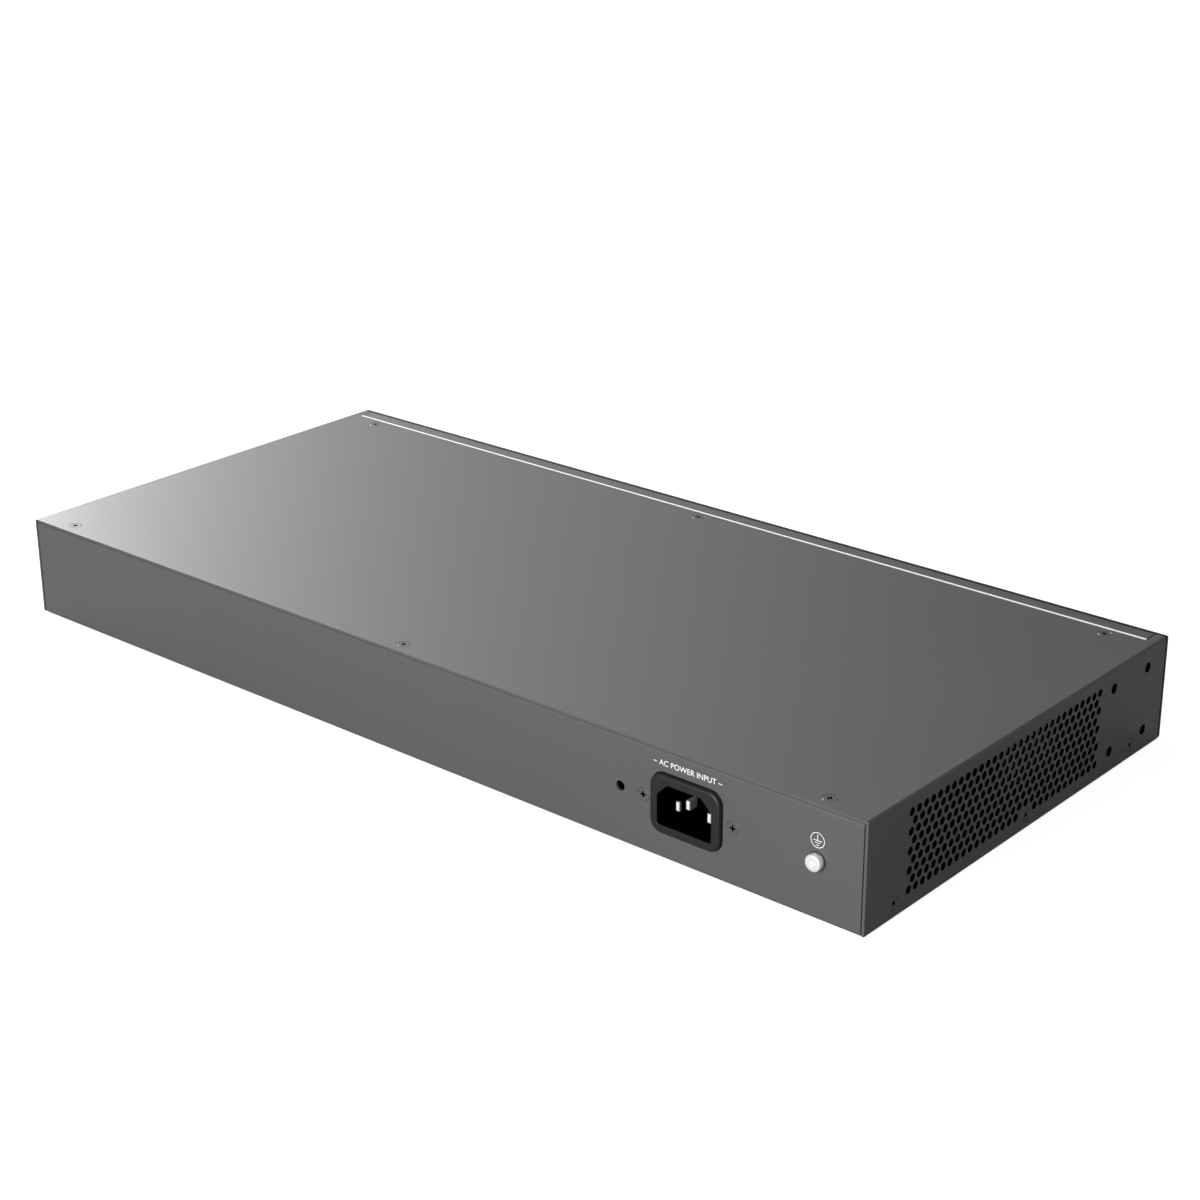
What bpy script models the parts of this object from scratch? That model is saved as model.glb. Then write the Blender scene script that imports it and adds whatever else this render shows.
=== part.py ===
"""Rackmount network switch, one rack unit high, as an assembly of separate pieces.

Metres, +Z up. The ports face -Y and the mains inlet faces +Y, so +X is to the right of
someone who looks at the ports. The origin is the centre of the flat underside.
"""

import math

import bmesh
import bpy
from mathutils import Matrix, Vector

# ---- driving dimensions ----------------------------------------------------------------
WIDTH = 0.4400
DEPTH = 0.2020
HEIGHT = 0.0436
SHEET = 0.0010  # thickness of the folded steel
GAP = 0.0003  # gap kept between neighbouring pieces
BEND = 0.0012  # outer radius of the bends along the underside
CREASE = 0.0010  # outer radius of the tighter bends along the top
ARC_STEPS = 3  # flats in a quarter bend
ROUND = 12  # sides of a screw-sized circle

REAR = DEPTH / 2
FRONT = -DEPTH / 2
FASCIA = 0.0012  # thickness of the dark front plate
FASCIA_INSET = 0.0001  # how far its rim stays inside the outside of the case
FASCIA_CORNER = 0.0008
BASE_HALF = WIDTH / 2 - SHEET - GAP
BASE_FRONT = FRONT + FASCIA + GAP
FLANGE_TOP = HEIGHT - SHEET - GAP  # what the cover rests on

# ---- seam across the top, behind the front edge ----------------------------------------
STRIP_HALF = 0.2150
STRIP_REAR = -0.0934
SEAM_REAR = -0.0916
JOGGLE_RUN = 0.0006
FRONT_FLANGE_REAR = -0.0790
REAR_FLANGE_FRONT = 0.0880

# ---- fasteners of the cover --------------------------------------------------------------
SCREW_HEAD_RADIUS = 0.0027
SCREW_SHANK_RADIUS = 0.0014
SCREW_LENGTH = 0.0060
SIDE_SCREW_LENGTH = 0.0045
SCREW_RIM = 0.0002  # straight rim above the cone of the head
THREAD_RADIUS = 0.0020
TOP_SCREW_X = {"left": -0.2000, "centre": 0.0, "right": 0.2000}
TOP_SCREW_Y = {"front": -0.0868, "rear": 0.0948}
SIDE_SCREW_Y = {"front": -0.0765, "middle": -0.0009, "rear": 0.0837}
SIDE_SCREW_Z = 0.0060

# ---- sides of the cover and of the base -----------------------------------------------------
COVER_SIDE_BOTTOM = 0.0004
COVER_SIDE_FRONT = BASE_FRONT + GAP
EAR_HOLES = [(y, z) for y in (-0.0603, -0.0859) for z in (0.0091, 0.0353)]
EAR_HOLE_RADIUS = 0.0021
EAR_THREAD_RADIUS = 0.00165
EAR_WALL_REAR = -0.0525
EAR_WALL_TOP = 0.0400
SIDE_FLANGE_TOP = 0.0045
TAB_TOP = 0.0105
TAB_HALF = 0.0060
REAR_WALL_RETURN = 0.0008

# ---- vents: staggered square holes in both sides, each as open as four of the fine round ones
VENT_ROWS = 5
VENT_COLUMNS = 15
VENT_PITCH = 0.0086
VENT_ROW_PITCH = VENT_PITCH * math.sqrt(3) / 2
VENT_REAR_Y = 0.0729
VENT_TOP_Z = 0.0373
VENT_RADIUS = 0.0032
VENT_SIDES = 4
VENT_SCREW_CLEARANCE = 0.0080

# ---- rear wall ---------------------------------------------------------------------------
CENTRE_Z = 0.0225
INLET_X = -0.1443
INLET_SCREW_REACH = 0.0200
BEZEL = (0.0310, 0.0232)
BEZEL_RADIUS = 0.0050
BEZEL_PROUD = 0.0020
RETAINER_X = -0.1138
RETAINER_RADIUS = 0.0020
GROUND_X = -0.2000
GROUND_HOLE_RADIUS = 0.0023

# ---- boards ------------------------------------------------------------------------------
BOARD_BOTTOM = 0.0070
BOARD = 0.0016
BOARD_TOP = BOARD_BOTTOM + BOARD
SEAT = BOARD_TOP + GAP  # underside of the components
BOSS_RADIUS = 0.0035
BOSS_HOLE_RADIUS = 0.0015
BOARD_HOLE_RADIUS = 0.0017
MAIN_BOSSES = [(-0.200, -0.066), (-0.097, 0.053), (0.050, 0.053), (0.206, 0.053), (0.206, -0.060)]
POWER_BOSSES = [(-0.207, -0.045), (-0.117, -0.045), (-0.207, 0.053), (-0.117, 0.053)]
MAIN_OUTLINE = [
    (-0.213, -0.098),
    (0.213, -0.098),
    (0.213, 0.060),
    (-0.104, 0.060),
    (-0.104, -0.058),
    (-0.213, -0.058),
]
POWER_LOW, POWER_HIGH = (-0.212, -0.050), (-0.112, 0.058)

# ---- ports -------------------------------------------------------------------------------
JACK_X = {"left": -0.0620, "right": 0.0300}
JACK_COLUMNS = 6
JACK_PITCH = 0.01397
JACK_WIDTH = 0.0870
JACK_HEIGHT = 0.0262
JACK_FRONT = FRONT - 0.0005
JACK_REAR = -0.0695
JACK_WALL = 0.0012
PORT_WIDTH = 0.0119
PORT_HEIGHT = 0.0080
PORT_DEPTH = 0.0140
LATCH_WIDTH = 0.0062
LATCH_HEIGHT = 0.0020
SHIELD = 0.0004
SHIELD_FRONT = FRONT
SFP_X = 0.1250
SFP_PORTS = 4
SFP_PITCH = 0.0144
SFP_OPENING = (0.0139, 0.0089)
SFP_WALL = 0.0005
SFP_FRONT = FRONT - 0.0008
SFP_REAR = -0.0540
SFP_DEPTH = 0.0440

# ---- buttons and light pipes on the front ------------------------------------------------
MODE_X = -0.1500
RESET_X = -0.1300
BUTTON_Z = 0.0131
MODE_RADIUS = 0.0029
MODE_PROUD = 0.0012
MODE_TRAVEL = 0.0006
RESET_TRAVEL = 0.0003
STEM_RADIUS = 0.0010
RESET_HOLE_RADIUS = 0.0013
SWITCH_FRONT = -0.0925
SWITCH_REAR = -0.0865
SWITCH_HALF = 0.0035
SWITCH_ABOVE = 0.0030  # height of the switch above the button's axis
STEM_REACH = 0.0020  # how far a stem reaches into its switch
PIPE_FINGER = (0.0030, 0.0016)
STATUS_PIPE_X = [-0.1780, -0.1700]
STATUS_PIPE_Z = 0.0260
SFP_PIPE_Z = 0.0260
PIPE_REAR = -0.0900


# ---- helpers -----------------------------------------------------------------------------
def clear_scene():
    for old in list(bpy.data.objects):
        bpy.data.objects.remove(old)


def paint(name, colour, roughness, metallic=0.0):
    """A Principled material of one colour."""
    made = bpy.data.materials.new(name)
    made.use_nodes = True
    shader = made.node_tree.nodes["Principled BSDF"]
    shader.inputs["Base Color"].default_value = (*colour, 1.0)
    shader.inputs["Roughness"].default_value = roughness
    shader.inputs["Metallic"].default_value = metallic
    return made


def build(name, bm, finish=None, smooth=False):
    """Turns a bmesh into a linked object. With no finish it is a hidden cutter or guide."""
    bmesh.ops.recalc_face_normals(bm, faces=bm.faces)
    mesh = bpy.data.meshes.new(name)
    bm.to_mesh(mesh)
    bm.free()
    made = bpy.data.objects.new(name, mesh)
    bpy.context.scene.collection.objects.link(made)
    if finish is None:
        made.hide_render = True
        made.display_type = "WIRE"
    else:
        mesh.materials.append(finish)
    if smooth:
        mesh.shade_smooth()
        mesh.set_sharp_from_angle(angle=math.radians(35))
    return made


def combine(piece, helper, operation="DIFFERENCE"):
    """Cuts the helper from the piece, or joins it on."""
    step = piece.modifiers.new(operation.lower(), "BOOLEAN")
    step.operation = operation
    step.solver = "EXACT"
    step.object = helper
    return piece


def add_box(bm, low, high):
    size = [b - a for a, b in zip(low, high)]
    centre = [(a + b) / 2 for a, b in zip(low, high)]
    place = Matrix.Translation(centre) @ Matrix.Diagonal((*size, 1.0))
    bmesh.ops.create_cube(bm, size=1.0, matrix=place)


def in_space(axis, u, v, along):
    """A point of an outline: (y, z) across X, (x, z) across Y, or (x, y) across Z."""
    return {"X": (along, u, v), "Y": (u, along, v), "Z": (u, v, along)}[axis]


def add_prism(bm, outline, axis, start, end):
    corners = [bm.verts.new(in_space(axis, u, v, start)) for u, v in outline]
    face = bm.faces.new(corners)
    grown = bmesh.ops.extrude_face_region(bm, geom=[face])["geom"]
    tops = [item for item in grown if isinstance(item, bmesh.types.BMVert)]
    bmesh.ops.translate(bm, verts=tops, vec=in_space(axis, 0.0, 0.0, end - start))


def circle(u, v, radius, sides=ROUND, turn=0.5):
    step = 2 * math.pi / sides
    angles = [(k + turn) * step for k in range(sides)]
    return [(u + radius * math.cos(a), v + radius * math.sin(a)) for a in angles]


def arc(u, v, radius, start, end, steps=ARC_STEPS):
    """Points of an arc about (u, v), its angles in degrees."""
    angles = [math.radians(start + (end - start) * k / steps) for k in range(steps + 1)]
    return [(u + radius * math.cos(a), v + radius * math.sin(a)) for a in angles]


def rectangle(u0, v0, u1, v1):
    return [(u0, v0), (u1, v0), (u1, v1), (u0, v1)]


def rounded(u, v, size, radius, steps=ARC_STEPS):
    du, dv = size[0] / 2 - radius, size[1] / 2 - radius
    corners = [(du, dv, 0), (-du, dv, 90), (-du, -dv, 180), (du, -dv, 270)]
    return [p for a, b, turn in corners for p in arc(u + a, v + b, radius, turn, turn + 90, steps)]


def add_turned(bm, profile, origin, axis, sides=ROUND):
    """Spins a profile of (radius, distance along the axis), whose ends lie on the axis or meet."""
    centre, along = Vector(origin), Vector(axis).normalized()
    side = along.orthogonal().normalized()
    verts = [bm.verts.new(centre + side * r + along * d) for r, d in profile]
    edges = [bm.edges.new(pair) for pair in zip(verts, verts[1:])]
    if profile[0][0] > 0:
        edges.append(bm.edges.new((verts[-1], verts[0])))
    bmesh.ops.spin(
        bm, geom=verts + edges, cent=centre, axis=along, angle=2 * math.pi, steps=sides, use_merge=True
    )
    bmesh.ops.remove_doubles(bm, verts=bm.verts, dist=1e-6)


def block(name, low, high, finish):
    bm = bmesh.new()
    add_box(bm, low, high)
    return build(name, bm, finish)


def turned(name, profile, origin, axis, finish, sides=ROUND):
    bm = bmesh.new()
    add_turned(bm, profile, origin, axis, sides)
    return build(name, bm, finish, smooth=True)


# ---- finishes ----------------------------------------------------------------------------
def make_finishes():
    return {
        "coat": paint("grey_powder_coat", (0.135, 0.135, 0.135), 0.45),
        "dark": paint("black_fascia", (0.012, 0.012, 0.013), 0.40),
        "plastic": paint("black_plastic", (0.015, 0.015, 0.016), 0.45),
        "steel": paint("zinc_steel", (0.62, 0.62, 0.63), 0.35, 1.0),
        "screw": paint("dark_screw_steel", (0.20, 0.20, 0.21), 0.38, 1.0),
        "nickel": paint("nickel_plate", (0.78, 0.77, 0.74), 0.25, 1.0),
        "brass": paint("plated_contact", (0.80, 0.78, 0.70), 0.30, 1.0),
        "board": paint("green_circuit_board", (0.02, 0.12, 0.05), 0.45),
        "chip": paint("black_chip", (0.02, 0.02, 0.02), 0.50),
        "alloy": paint("aluminium", (0.75, 0.75, 0.76), 0.40, 1.0),
        "ferrite": paint("ferrite_core", (0.05, 0.05, 0.055), 0.60),
        "winding": paint("yellow_winding_tape", (0.75, 0.55, 0.08), 0.50),
        "header": paint("white_connector", (0.80, 0.79, 0.74), 0.50),
        "sheet": paint("insulating_film", (0.10, 0.10, 0.10), 0.35),
        "clear": paint("clear_light_pipe", (0.85, 0.88, 0.88), 0.15),
        "brown": paint("brown_lead", (0.20, 0.07, 0.02), 0.50),
        "blue": paint("blue_lead", (0.03, 0.10, 0.45), 0.50),
        "green": paint("green_yellow_lead", (0.20, 0.50, 0.05), 0.50),
        "red": paint("red_lead", (0.55, 0.02, 0.02), 0.50),
        "black": paint("black_lead", (0.02, 0.02, 0.02), 0.50),
    }


# ---- base --------------------------------------------------------------------------------
def base_outline():
    """Outside of the folded base, in (y, z): underside, rear wall, flange line, joggle and front strip."""
    return [
        *arc(BASE_FRONT + BEND, BEND, BEND, 180, 270),
        *arc(REAR - BEND, BEND, BEND, 270, 360),
        *arc(REAR - CREASE, FLANGE_TOP - CREASE, CREASE, 0, 90),
        (STRIP_REAR + JOGGLE_RUN, FLANGE_TOP),
        (STRIP_REAR, HEIGHT),
        *arc(BASE_FRONT + CREASE, HEIGHT - CREASE, CREASE, 90, 180),
    ]


def base_hollow():
    """Inside of the base, in (y, z), open at the top between the two flanges."""
    inner = BEND - SHEET
    low, under = SHEET, FLANGE_TOP - SHEET
    above = 2 * HEIGHT
    return [
        *arc(BASE_FRONT + BEND, low + inner, inner, 180, 270, 2),
        *arc(REAR - BEND, low + inner, inner, 270, 360, 2),
        (REAR - SHEET, under),
        (REAR_FLANGE_FRONT, under),
        (REAR_FLANGE_FRONT, above),
        (FRONT_FLANGE_REAR, above),
        (FRONT_FLANGE_REAR, under),
        (STRIP_REAR - SHEET + JOGGLE_RUN, under),
        (STRIP_REAR - SHEET, HEIGHT - SHEET),
        (BASE_FRONT + SHEET, HEIGHT - SHEET),
    ]


def side_wall_cut():
    """What is trimmed from each side wall, in (y, z): it leaves a low flange, two tabs and the ear wall."""
    above = 2 * HEIGHT
    points = [(BASE_FRONT + 2 * SHEET, above), (BASE_FRONT + 2 * SHEET, EAR_WALL_TOP)]
    points += [(EAR_WALL_REAR, EAR_WALL_TOP), (EAR_WALL_REAR, SIDE_FLANGE_TOP)]
    for place in ("middle", "rear"):
        y = SIDE_SCREW_Y[place]
        points += [(y - TAB_HALF, SIDE_FLANGE_TOP), (y - TAB_HALF, TAB_TOP)]
        points += [(y + TAB_HALF, TAB_TOP), (y + TAB_HALF, SIDE_FLANGE_TOP)]
    rear_end = REAR - SHEET - REAR_WALL_RETURN
    return points + [(rear_end, SIDE_FLANGE_TOP), (rear_end, above)]


def add_front_windows(bm, start, end, margin):
    """Openings in the front for the jacks, cages, buttons and light pipes."""
    half = JACK_WIDTH / 2 + GAP + SHIELD + margin
    top = SEAT + JACK_HEIGHT + GAP + SHIELD + margin
    for x in JACK_X.values():
        add_prism(bm, rectangle(x - half, SEAT - margin, x + half, top), "Y", start, end)
    cage = SFP_PORTS * SFP_PITCH + SFP_WALL
    cage_top = SEAT + SFP_OPENING[1] + 2 * SFP_WALL + margin
    cage_window = rectangle(SFP_X - cage / 2 - margin, SEAT - margin, SFP_X + cage / 2 + margin, cage_top)
    add_prism(bm, cage_window, "Y", start, end)
    add_prism(bm, circle(MODE_X, BUTTON_Z, MODE_RADIUS + margin, 16), "Y", start, end)
    add_prism(bm, circle(RESET_X, BUTTON_Z, RESET_HOLE_RADIUS), "Y", start, end)
    for x, z in pipe_places():
        low = (x - PIPE_FINGER[0] / 2 - margin, z - PIPE_FINGER[1] / 2 - margin)
        high = (x + PIPE_FINGER[0] / 2 + margin, z + PIPE_FINGER[1] / 2 + margin)
        add_prism(bm, rectangle(*low, *high), "Y", start, end)


def sfp_centres():
    first = SFP_X - SFP_PITCH * (SFP_PORTS - 1) / 2
    return [first + SFP_PITCH * k for k in range(SFP_PORTS)]


def pipe_places():
    status = [(x, STATUS_PIPE_Z) for x in STATUS_PIPE_X]
    return status + [(x, SFP_PIPE_Z) for x in sfp_centres()]


def add_rear_openings(bm):
    start, end = REAR - 0.003, REAR + 0.002
    size = [side + 2 * GAP for side in BEZEL]
    add_prism(bm, rounded(INLET_X, CENTRE_Z, size, BEZEL_RADIUS + GAP), "Y", start, end)
    for side in (-1, 1):
        screw = (INLET_X + side * INLET_SCREW_REACH, REAR, CENTRE_Z)
        add_countersink(bm, screw, (0, -1, 0))
    add_prism(bm, circle(RETAINER_X, CENTRE_Z, RETAINER_RADIUS, 16), "Y", start, end)
    add_prism(bm, circle(GROUND_X, CENTRE_Z, GROUND_HOLE_RADIUS), "Y", start, end)


def add_countersink(bm, place, inward):
    """A coned hole through the sheet, wide outside, that clears a screw head by about the usual gap."""
    outside, inside = SCREW_HEAD_RADIUS + 0.0005, SCREW_HEAD_RADIUS - 0.0006
    start, end = -0.0002, SHEET + 0.0002  # past both faces of the sheet
    profile = [(0.0, start), (outside, start), (inside, end), (0.0, end)]
    add_turned(bm, profile, place, inward)


def make_base(finish):
    bm = bmesh.new()
    add_prism(bm, base_outline(), "X", -BASE_HALF, BASE_HALF)
    base = build("base_chassis", bm, finish)

    hollow = bmesh.new()
    add_prism(hollow, base_hollow(), "X", SHEET - BASE_HALF, BASE_HALF - SHEET)
    combine(base, build("base_hollow", hollow))

    sides = bmesh.new()
    for side in (-1, 1):
        add_prism(sides, side_wall_cut(), "X", side * (BASE_HALF - 2 * SHEET), side * (BASE_HALF + SHEET))
    combine(base, build("base_side_trim", sides))

    edges = bmesh.new()
    for side in (-1, 1):
        corner = arc(BASE_HALF - BEND, BEND, BEND, 270, 360)
        corner += [(WIDTH, BEND), (WIDTH, -BEND), (BASE_HALF - BEND, -BEND)]
        add_prism(edges, [(side * u, v) for u, v in corner], "Y", -DEPTH, DEPTH)
    combine(base, build("base_edge_rounding", edges))

    ends = bmesh.new()
    for side in (-1, 1):
        left, right = sorted((side * STRIP_HALF, side * (BASE_HALF + SHEET)))
        add_box(ends, (left, FRONT, FLANGE_TOP - GAP), (right, SEAM_REAR, HEIGHT + SHEET))
    combine(base, build("base_strip_ends", ends))

    bosses = bmesh.new()
    for x, y in MAIN_BOSSES + POWER_BOSSES:
        add_prism(bosses, circle(x, y, BOSS_RADIUS), "Z", SHEET / 2, BOARD_BOTTOM - GAP)
    combine(base, build("base_bosses", bosses), "UNION")

    holes = bmesh.new()
    for x, y in MAIN_BOSSES + POWER_BOSSES:
        add_prism(holes, circle(x, y, BOSS_HOLE_RADIUS, 8), "Z", -SHEET, BOARD_BOTTOM)
    for x in TOP_SCREW_X.values():
        for y in TOP_SCREW_Y.values():
            add_prism(holes, circle(x, y, THREAD_RADIUS), "Z", FLANGE_TOP - 2 * SHEET, FLANGE_TOP + SHEET)
    for side in (-1, 1):
        start, end = side * (BASE_HALF - 3 * SHEET), side * (BASE_HALF + SHEET)
        for y in SIDE_SCREW_Y.values():
            add_prism(holes, circle(y, SIDE_SCREW_Z, THREAD_RADIUS), "X", start, end)
        for y, z in EAR_HOLES:
            add_prism(holes, circle(y, z, EAR_THREAD_RADIUS), "X", start, end)
    add_rear_openings(holes)
    add_front_windows(holes, BASE_FRONT - SHEET, BASE_FRONT + 2 * SHEET, 0.0004)
    combine(base, build("base_holes", holes))
    return base


# ---- cover -------------------------------------------------------------------------------
def cover_outline():
    """The folded cover, in (x, z): down one side, over the top and down the other."""
    half, inner = WIDTH / 2, WIDTH / 2 - SHEET
    outer_bend, inner_bend = CREASE + 0.0003, 0.0003
    under = HEIGHT - SHEET
    return [
        (half, COVER_SIDE_BOTTOM),
        *arc(half - outer_bend, HEIGHT - outer_bend, outer_bend, 0, 90),
        *arc(outer_bend - half, HEIGHT - outer_bend, outer_bend, 90, 180),
        (-half, COVER_SIDE_BOTTOM),
        (-inner, COVER_SIDE_BOTTOM),
        *arc(inner_bend - inner, under - inner_bend, inner_bend, 180, 90, 1),
        *arc(inner - inner_bend, under - inner_bend, inner_bend, 90, 0, 1),
        (inner, COVER_SIDE_BOTTOM),
    ]


def vent_centres():
    """Centres of the vent holes, in (y, z), leaving out those under the middle screw."""
    centres = []
    for row in range(VENT_ROWS):
        shift = row % 2
        z = VENT_TOP_Z - row * VENT_ROW_PITCH
        for column in range(VENT_COLUMNS - shift):
            y = VENT_REAR_Y - (column + shift / 2) * VENT_PITCH
            if math.hypot(y - SIDE_SCREW_Y["middle"], z - SIDE_SCREW_Z) > VENT_SCREW_CLEARANCE:
                centres.append((y, z))
    return centres


def make_cover(finish):
    bm = bmesh.new()
    add_prism(bm, cover_outline(), "Y", COVER_SIDE_FRONT, REAR)
    cover = build("top_cover", bm, finish)

    notch = bmesh.new()
    reach = STRIP_HALF + 0.0005
    add_box(notch, (-reach, 2 * FRONT, HEIGHT - 3 * SHEET), (reach, SEAM_REAR, HEIGHT + SHEET))
    combine(cover, build("cover_front_notch", notch))

    holes = bmesh.new()
    for x in TOP_SCREW_X.values():
        for y in TOP_SCREW_Y.values():
            add_countersink(holes, (x, y, HEIGHT), (0, 0, -1))
    for side in (-1, 1):
        for y in SIDE_SCREW_Y.values():
            add_countersink(holes, (side * WIDTH / 2, y, SIDE_SCREW_Z), (-side, 0, 0))
        start, end = side * (WIDTH / 2 - 2 * SHEET), side * (WIDTH / 2 + SHEET)
        for y, z in EAR_HOLES:
            add_prism(holes, circle(y, z, EAR_HOLE_RADIUS), "X", start, end)
        for y, z in vent_centres():
            add_prism(holes, circle(y, z, VENT_RADIUS, VENT_SIDES, 0), "X", start, end)
    combine(cover, build("cover_holes", holes))
    return cover


def make_fascia(finish):
    """Dark plate in front of the base, flush with the cover's top and sides but for a hair."""
    bm = bmesh.new()
    size = (WIDTH - 2 * FASCIA_INSET, HEIGHT - 2 * FASCIA_INSET)
    add_prism(bm, rounded(0.0, HEIGHT / 2, size, FASCIA_CORNER, 2), "Y", FRONT, FRONT + FASCIA)
    fascia = build("front_fascia", bm, finish)
    holes = bmesh.new()
    add_front_windows(holes, FRONT - SHEET, FRONT + 2 * FASCIA, 0.0006)
    return combine(fascia, build("fascia_windows", holes))


# ---- screws ------------------------------------------------------------------------------
def countersunk_screw(name, place, inward, finish, length=SCREW_LENGTH):
    cone_end = SCREW_RIM + SCREW_HEAD_RADIUS - SCREW_SHANK_RADIUS
    profile = [
        (0.0, 0.0),
        (SCREW_HEAD_RADIUS, 0.0),
        (SCREW_HEAD_RADIUS, SCREW_RIM),
        (SCREW_SHANK_RADIUS, cone_end),
        (SCREW_SHANK_RADIUS, length),
        (0.0, length),
    ]
    return turned(name, profile, place, inward, finish)


def make_cover_screws(finish):
    for row, y in TOP_SCREW_Y.items():
        for column, x in TOP_SCREW_X.items():
            countersunk_screw(f"top_screw_{row}_{column}", (x, y, HEIGHT), (0, 0, -1), finish)
    for side, name in ((-1, "left"), (1, "right")):
        for row, y in SIDE_SCREW_Y.items():
            place = (side * WIDTH / 2, y, SIDE_SCREW_Z)
            countersunk_screw(f"side_screw_{name}_{row}", place, (-side, 0, 0), finish, SIDE_SCREW_LENGTH)


# ---- mains inlet -------------------------------------------------------------------------
INLET_FLANGE = (0.0500, 0.0240)
INLET_FLANGE_FRONT = REAR - SHEET - GAP
INLET_FLANGE_DEPTH = 0.0030
INLET_BODY = (0.0285, 0.0210)
INLET_BODY_END = 0.0780
CAVITY = (0.0244, 0.0164)
CAVITY_CHAMFER = 0.0045
CAVITY_FLOOR = 0.0860
PIN = (0.0020, 0.0040)
PIN_SPREAD = 0.0070
PIN_DROP = 0.0020
PIN_END = 0.0690
PIN_TIPS = {"line": 0.0976, "neutral": 0.0976, "earth": 0.1007}
PIN_PLACES = {
    "line": (INLET_X + PIN_SPREAD, CENTRE_Z - PIN_DROP),
    "neutral": (INLET_X - PIN_SPREAD, CENTRE_Z - PIN_DROP),
    "earth": (INLET_X, CENTRE_Z + PIN_DROP),
}


def cavity_outline():
    """Plug opening with both upper corners cut off."""
    u, v = CAVITY[0] / 2, CAVITY[1] / 2
    low = [(INLET_X - u, CENTRE_Z - v), (INLET_X + u, CENTRE_Z - v)]
    right = [(INLET_X + u, CENTRE_Z + v - CAVITY_CHAMFER), (INLET_X + u - CAVITY_CHAMFER, CENTRE_Z + v)]
    left = [(INLET_X - u + CAVITY_CHAMFER, CENTRE_Z + v), (INLET_X - u, CENTRE_Z + v - CAVITY_CHAMFER)]
    return low + right + left


def make_inlet(finishes):
    bm = bmesh.new()
    add_prism(bm, rounded(INLET_X, CENTRE_Z, BEZEL, BEZEL_RADIUS), "Y", REAR - 0.003, REAR + BEZEL_PROUD)
    inlet = build("inlet_housing", bm, finishes["plastic"])

    flange = bmesh.new()
    flange_end = INLET_FLANGE_FRONT - INLET_FLANGE_DEPTH
    add_prism(flange, rounded(INLET_X, CENTRE_Z, INLET_FLANGE, 0.004, 2), "Y", flange_end, INLET_FLANGE_FRONT)
    combine(inlet, build("inlet_flange", flange), "UNION")

    body = bmesh.new()
    add_prism(body, rounded(INLET_X, CENTRE_Z, INLET_BODY, 0.002, 1), "Y", INLET_BODY_END, REAR - 0.0020)
    combine(inlet, build("inlet_body", body), "UNION")

    holes = bmesh.new()
    add_prism(holes, cavity_outline(), "Y", CAVITY_FLOOR, REAR + 2 * BEZEL_PROUD)
    for side in (-1, 1):
        hole = circle(INLET_X + side * INLET_SCREW_REACH, CENTRE_Z, THREAD_RADIUS)
        add_prism(holes, hole, "Y", flange_end - SHEET, REAR)
    combine(inlet, build("inlet_holes", holes))

    slots = bmesh.new()
    for x, z in PIN_PLACES.values():
        du, dv = PIN[0] / 2 + GAP, PIN[1] / 2 + GAP
        add_box(slots, (x - du, INLET_BODY_END - SHEET, z - dv), (x + du, CAVITY_FLOOR + SHEET, z + dv))
    combine(inlet, build("inlet_pin_slots", slots))

    for name, (x, z) in PIN_PLACES.items():
        pin = bmesh.new()
        half, tip, nose = PIN[1] / 2, PIN_TIPS[name], 0.0006
        outline = rectangle(PIN_END, z - half, tip - nose, z + half)
        outline[2:2] = [(tip, z - half + nose), (tip, z + half - nose)]
        add_prism(pin, outline, "X", x - PIN[0] / 2, x + PIN[0] / 2)
        build(f"inlet_pin_{name}", pin, finishes["brass"])

    for side, name in ((-1, "left"), (1, "right")):
        place = (INLET_X + side * INLET_SCREW_REACH, REAR, CENTRE_Z)
        countersunk_screw(f"inlet_screw_{name}", place, (0, -1, 0), finishes["screw"])


# ---- ground terminal ---------------------------------------------------------------------
WASHER = 0.0007
WASHER_RADIUS = 0.0036
GROUND_HEAD_RADIUS = 0.0032
GROUND_SHANK_RADIUS = 0.0019
GROUND_PROUD = 0.0030
GROUND_END = 0.0935
TERMINAL = 0.0008
TERMINAL_RADIUS = 0.0038
TERMINAL_TAIL = 0.0085  # how far its crimped tail reaches from the screw
TERMINAL_TAIL_HALF = 0.0016
NUT_RADIUS = 0.0040
NUT_THICKNESS = 0.0030


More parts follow.
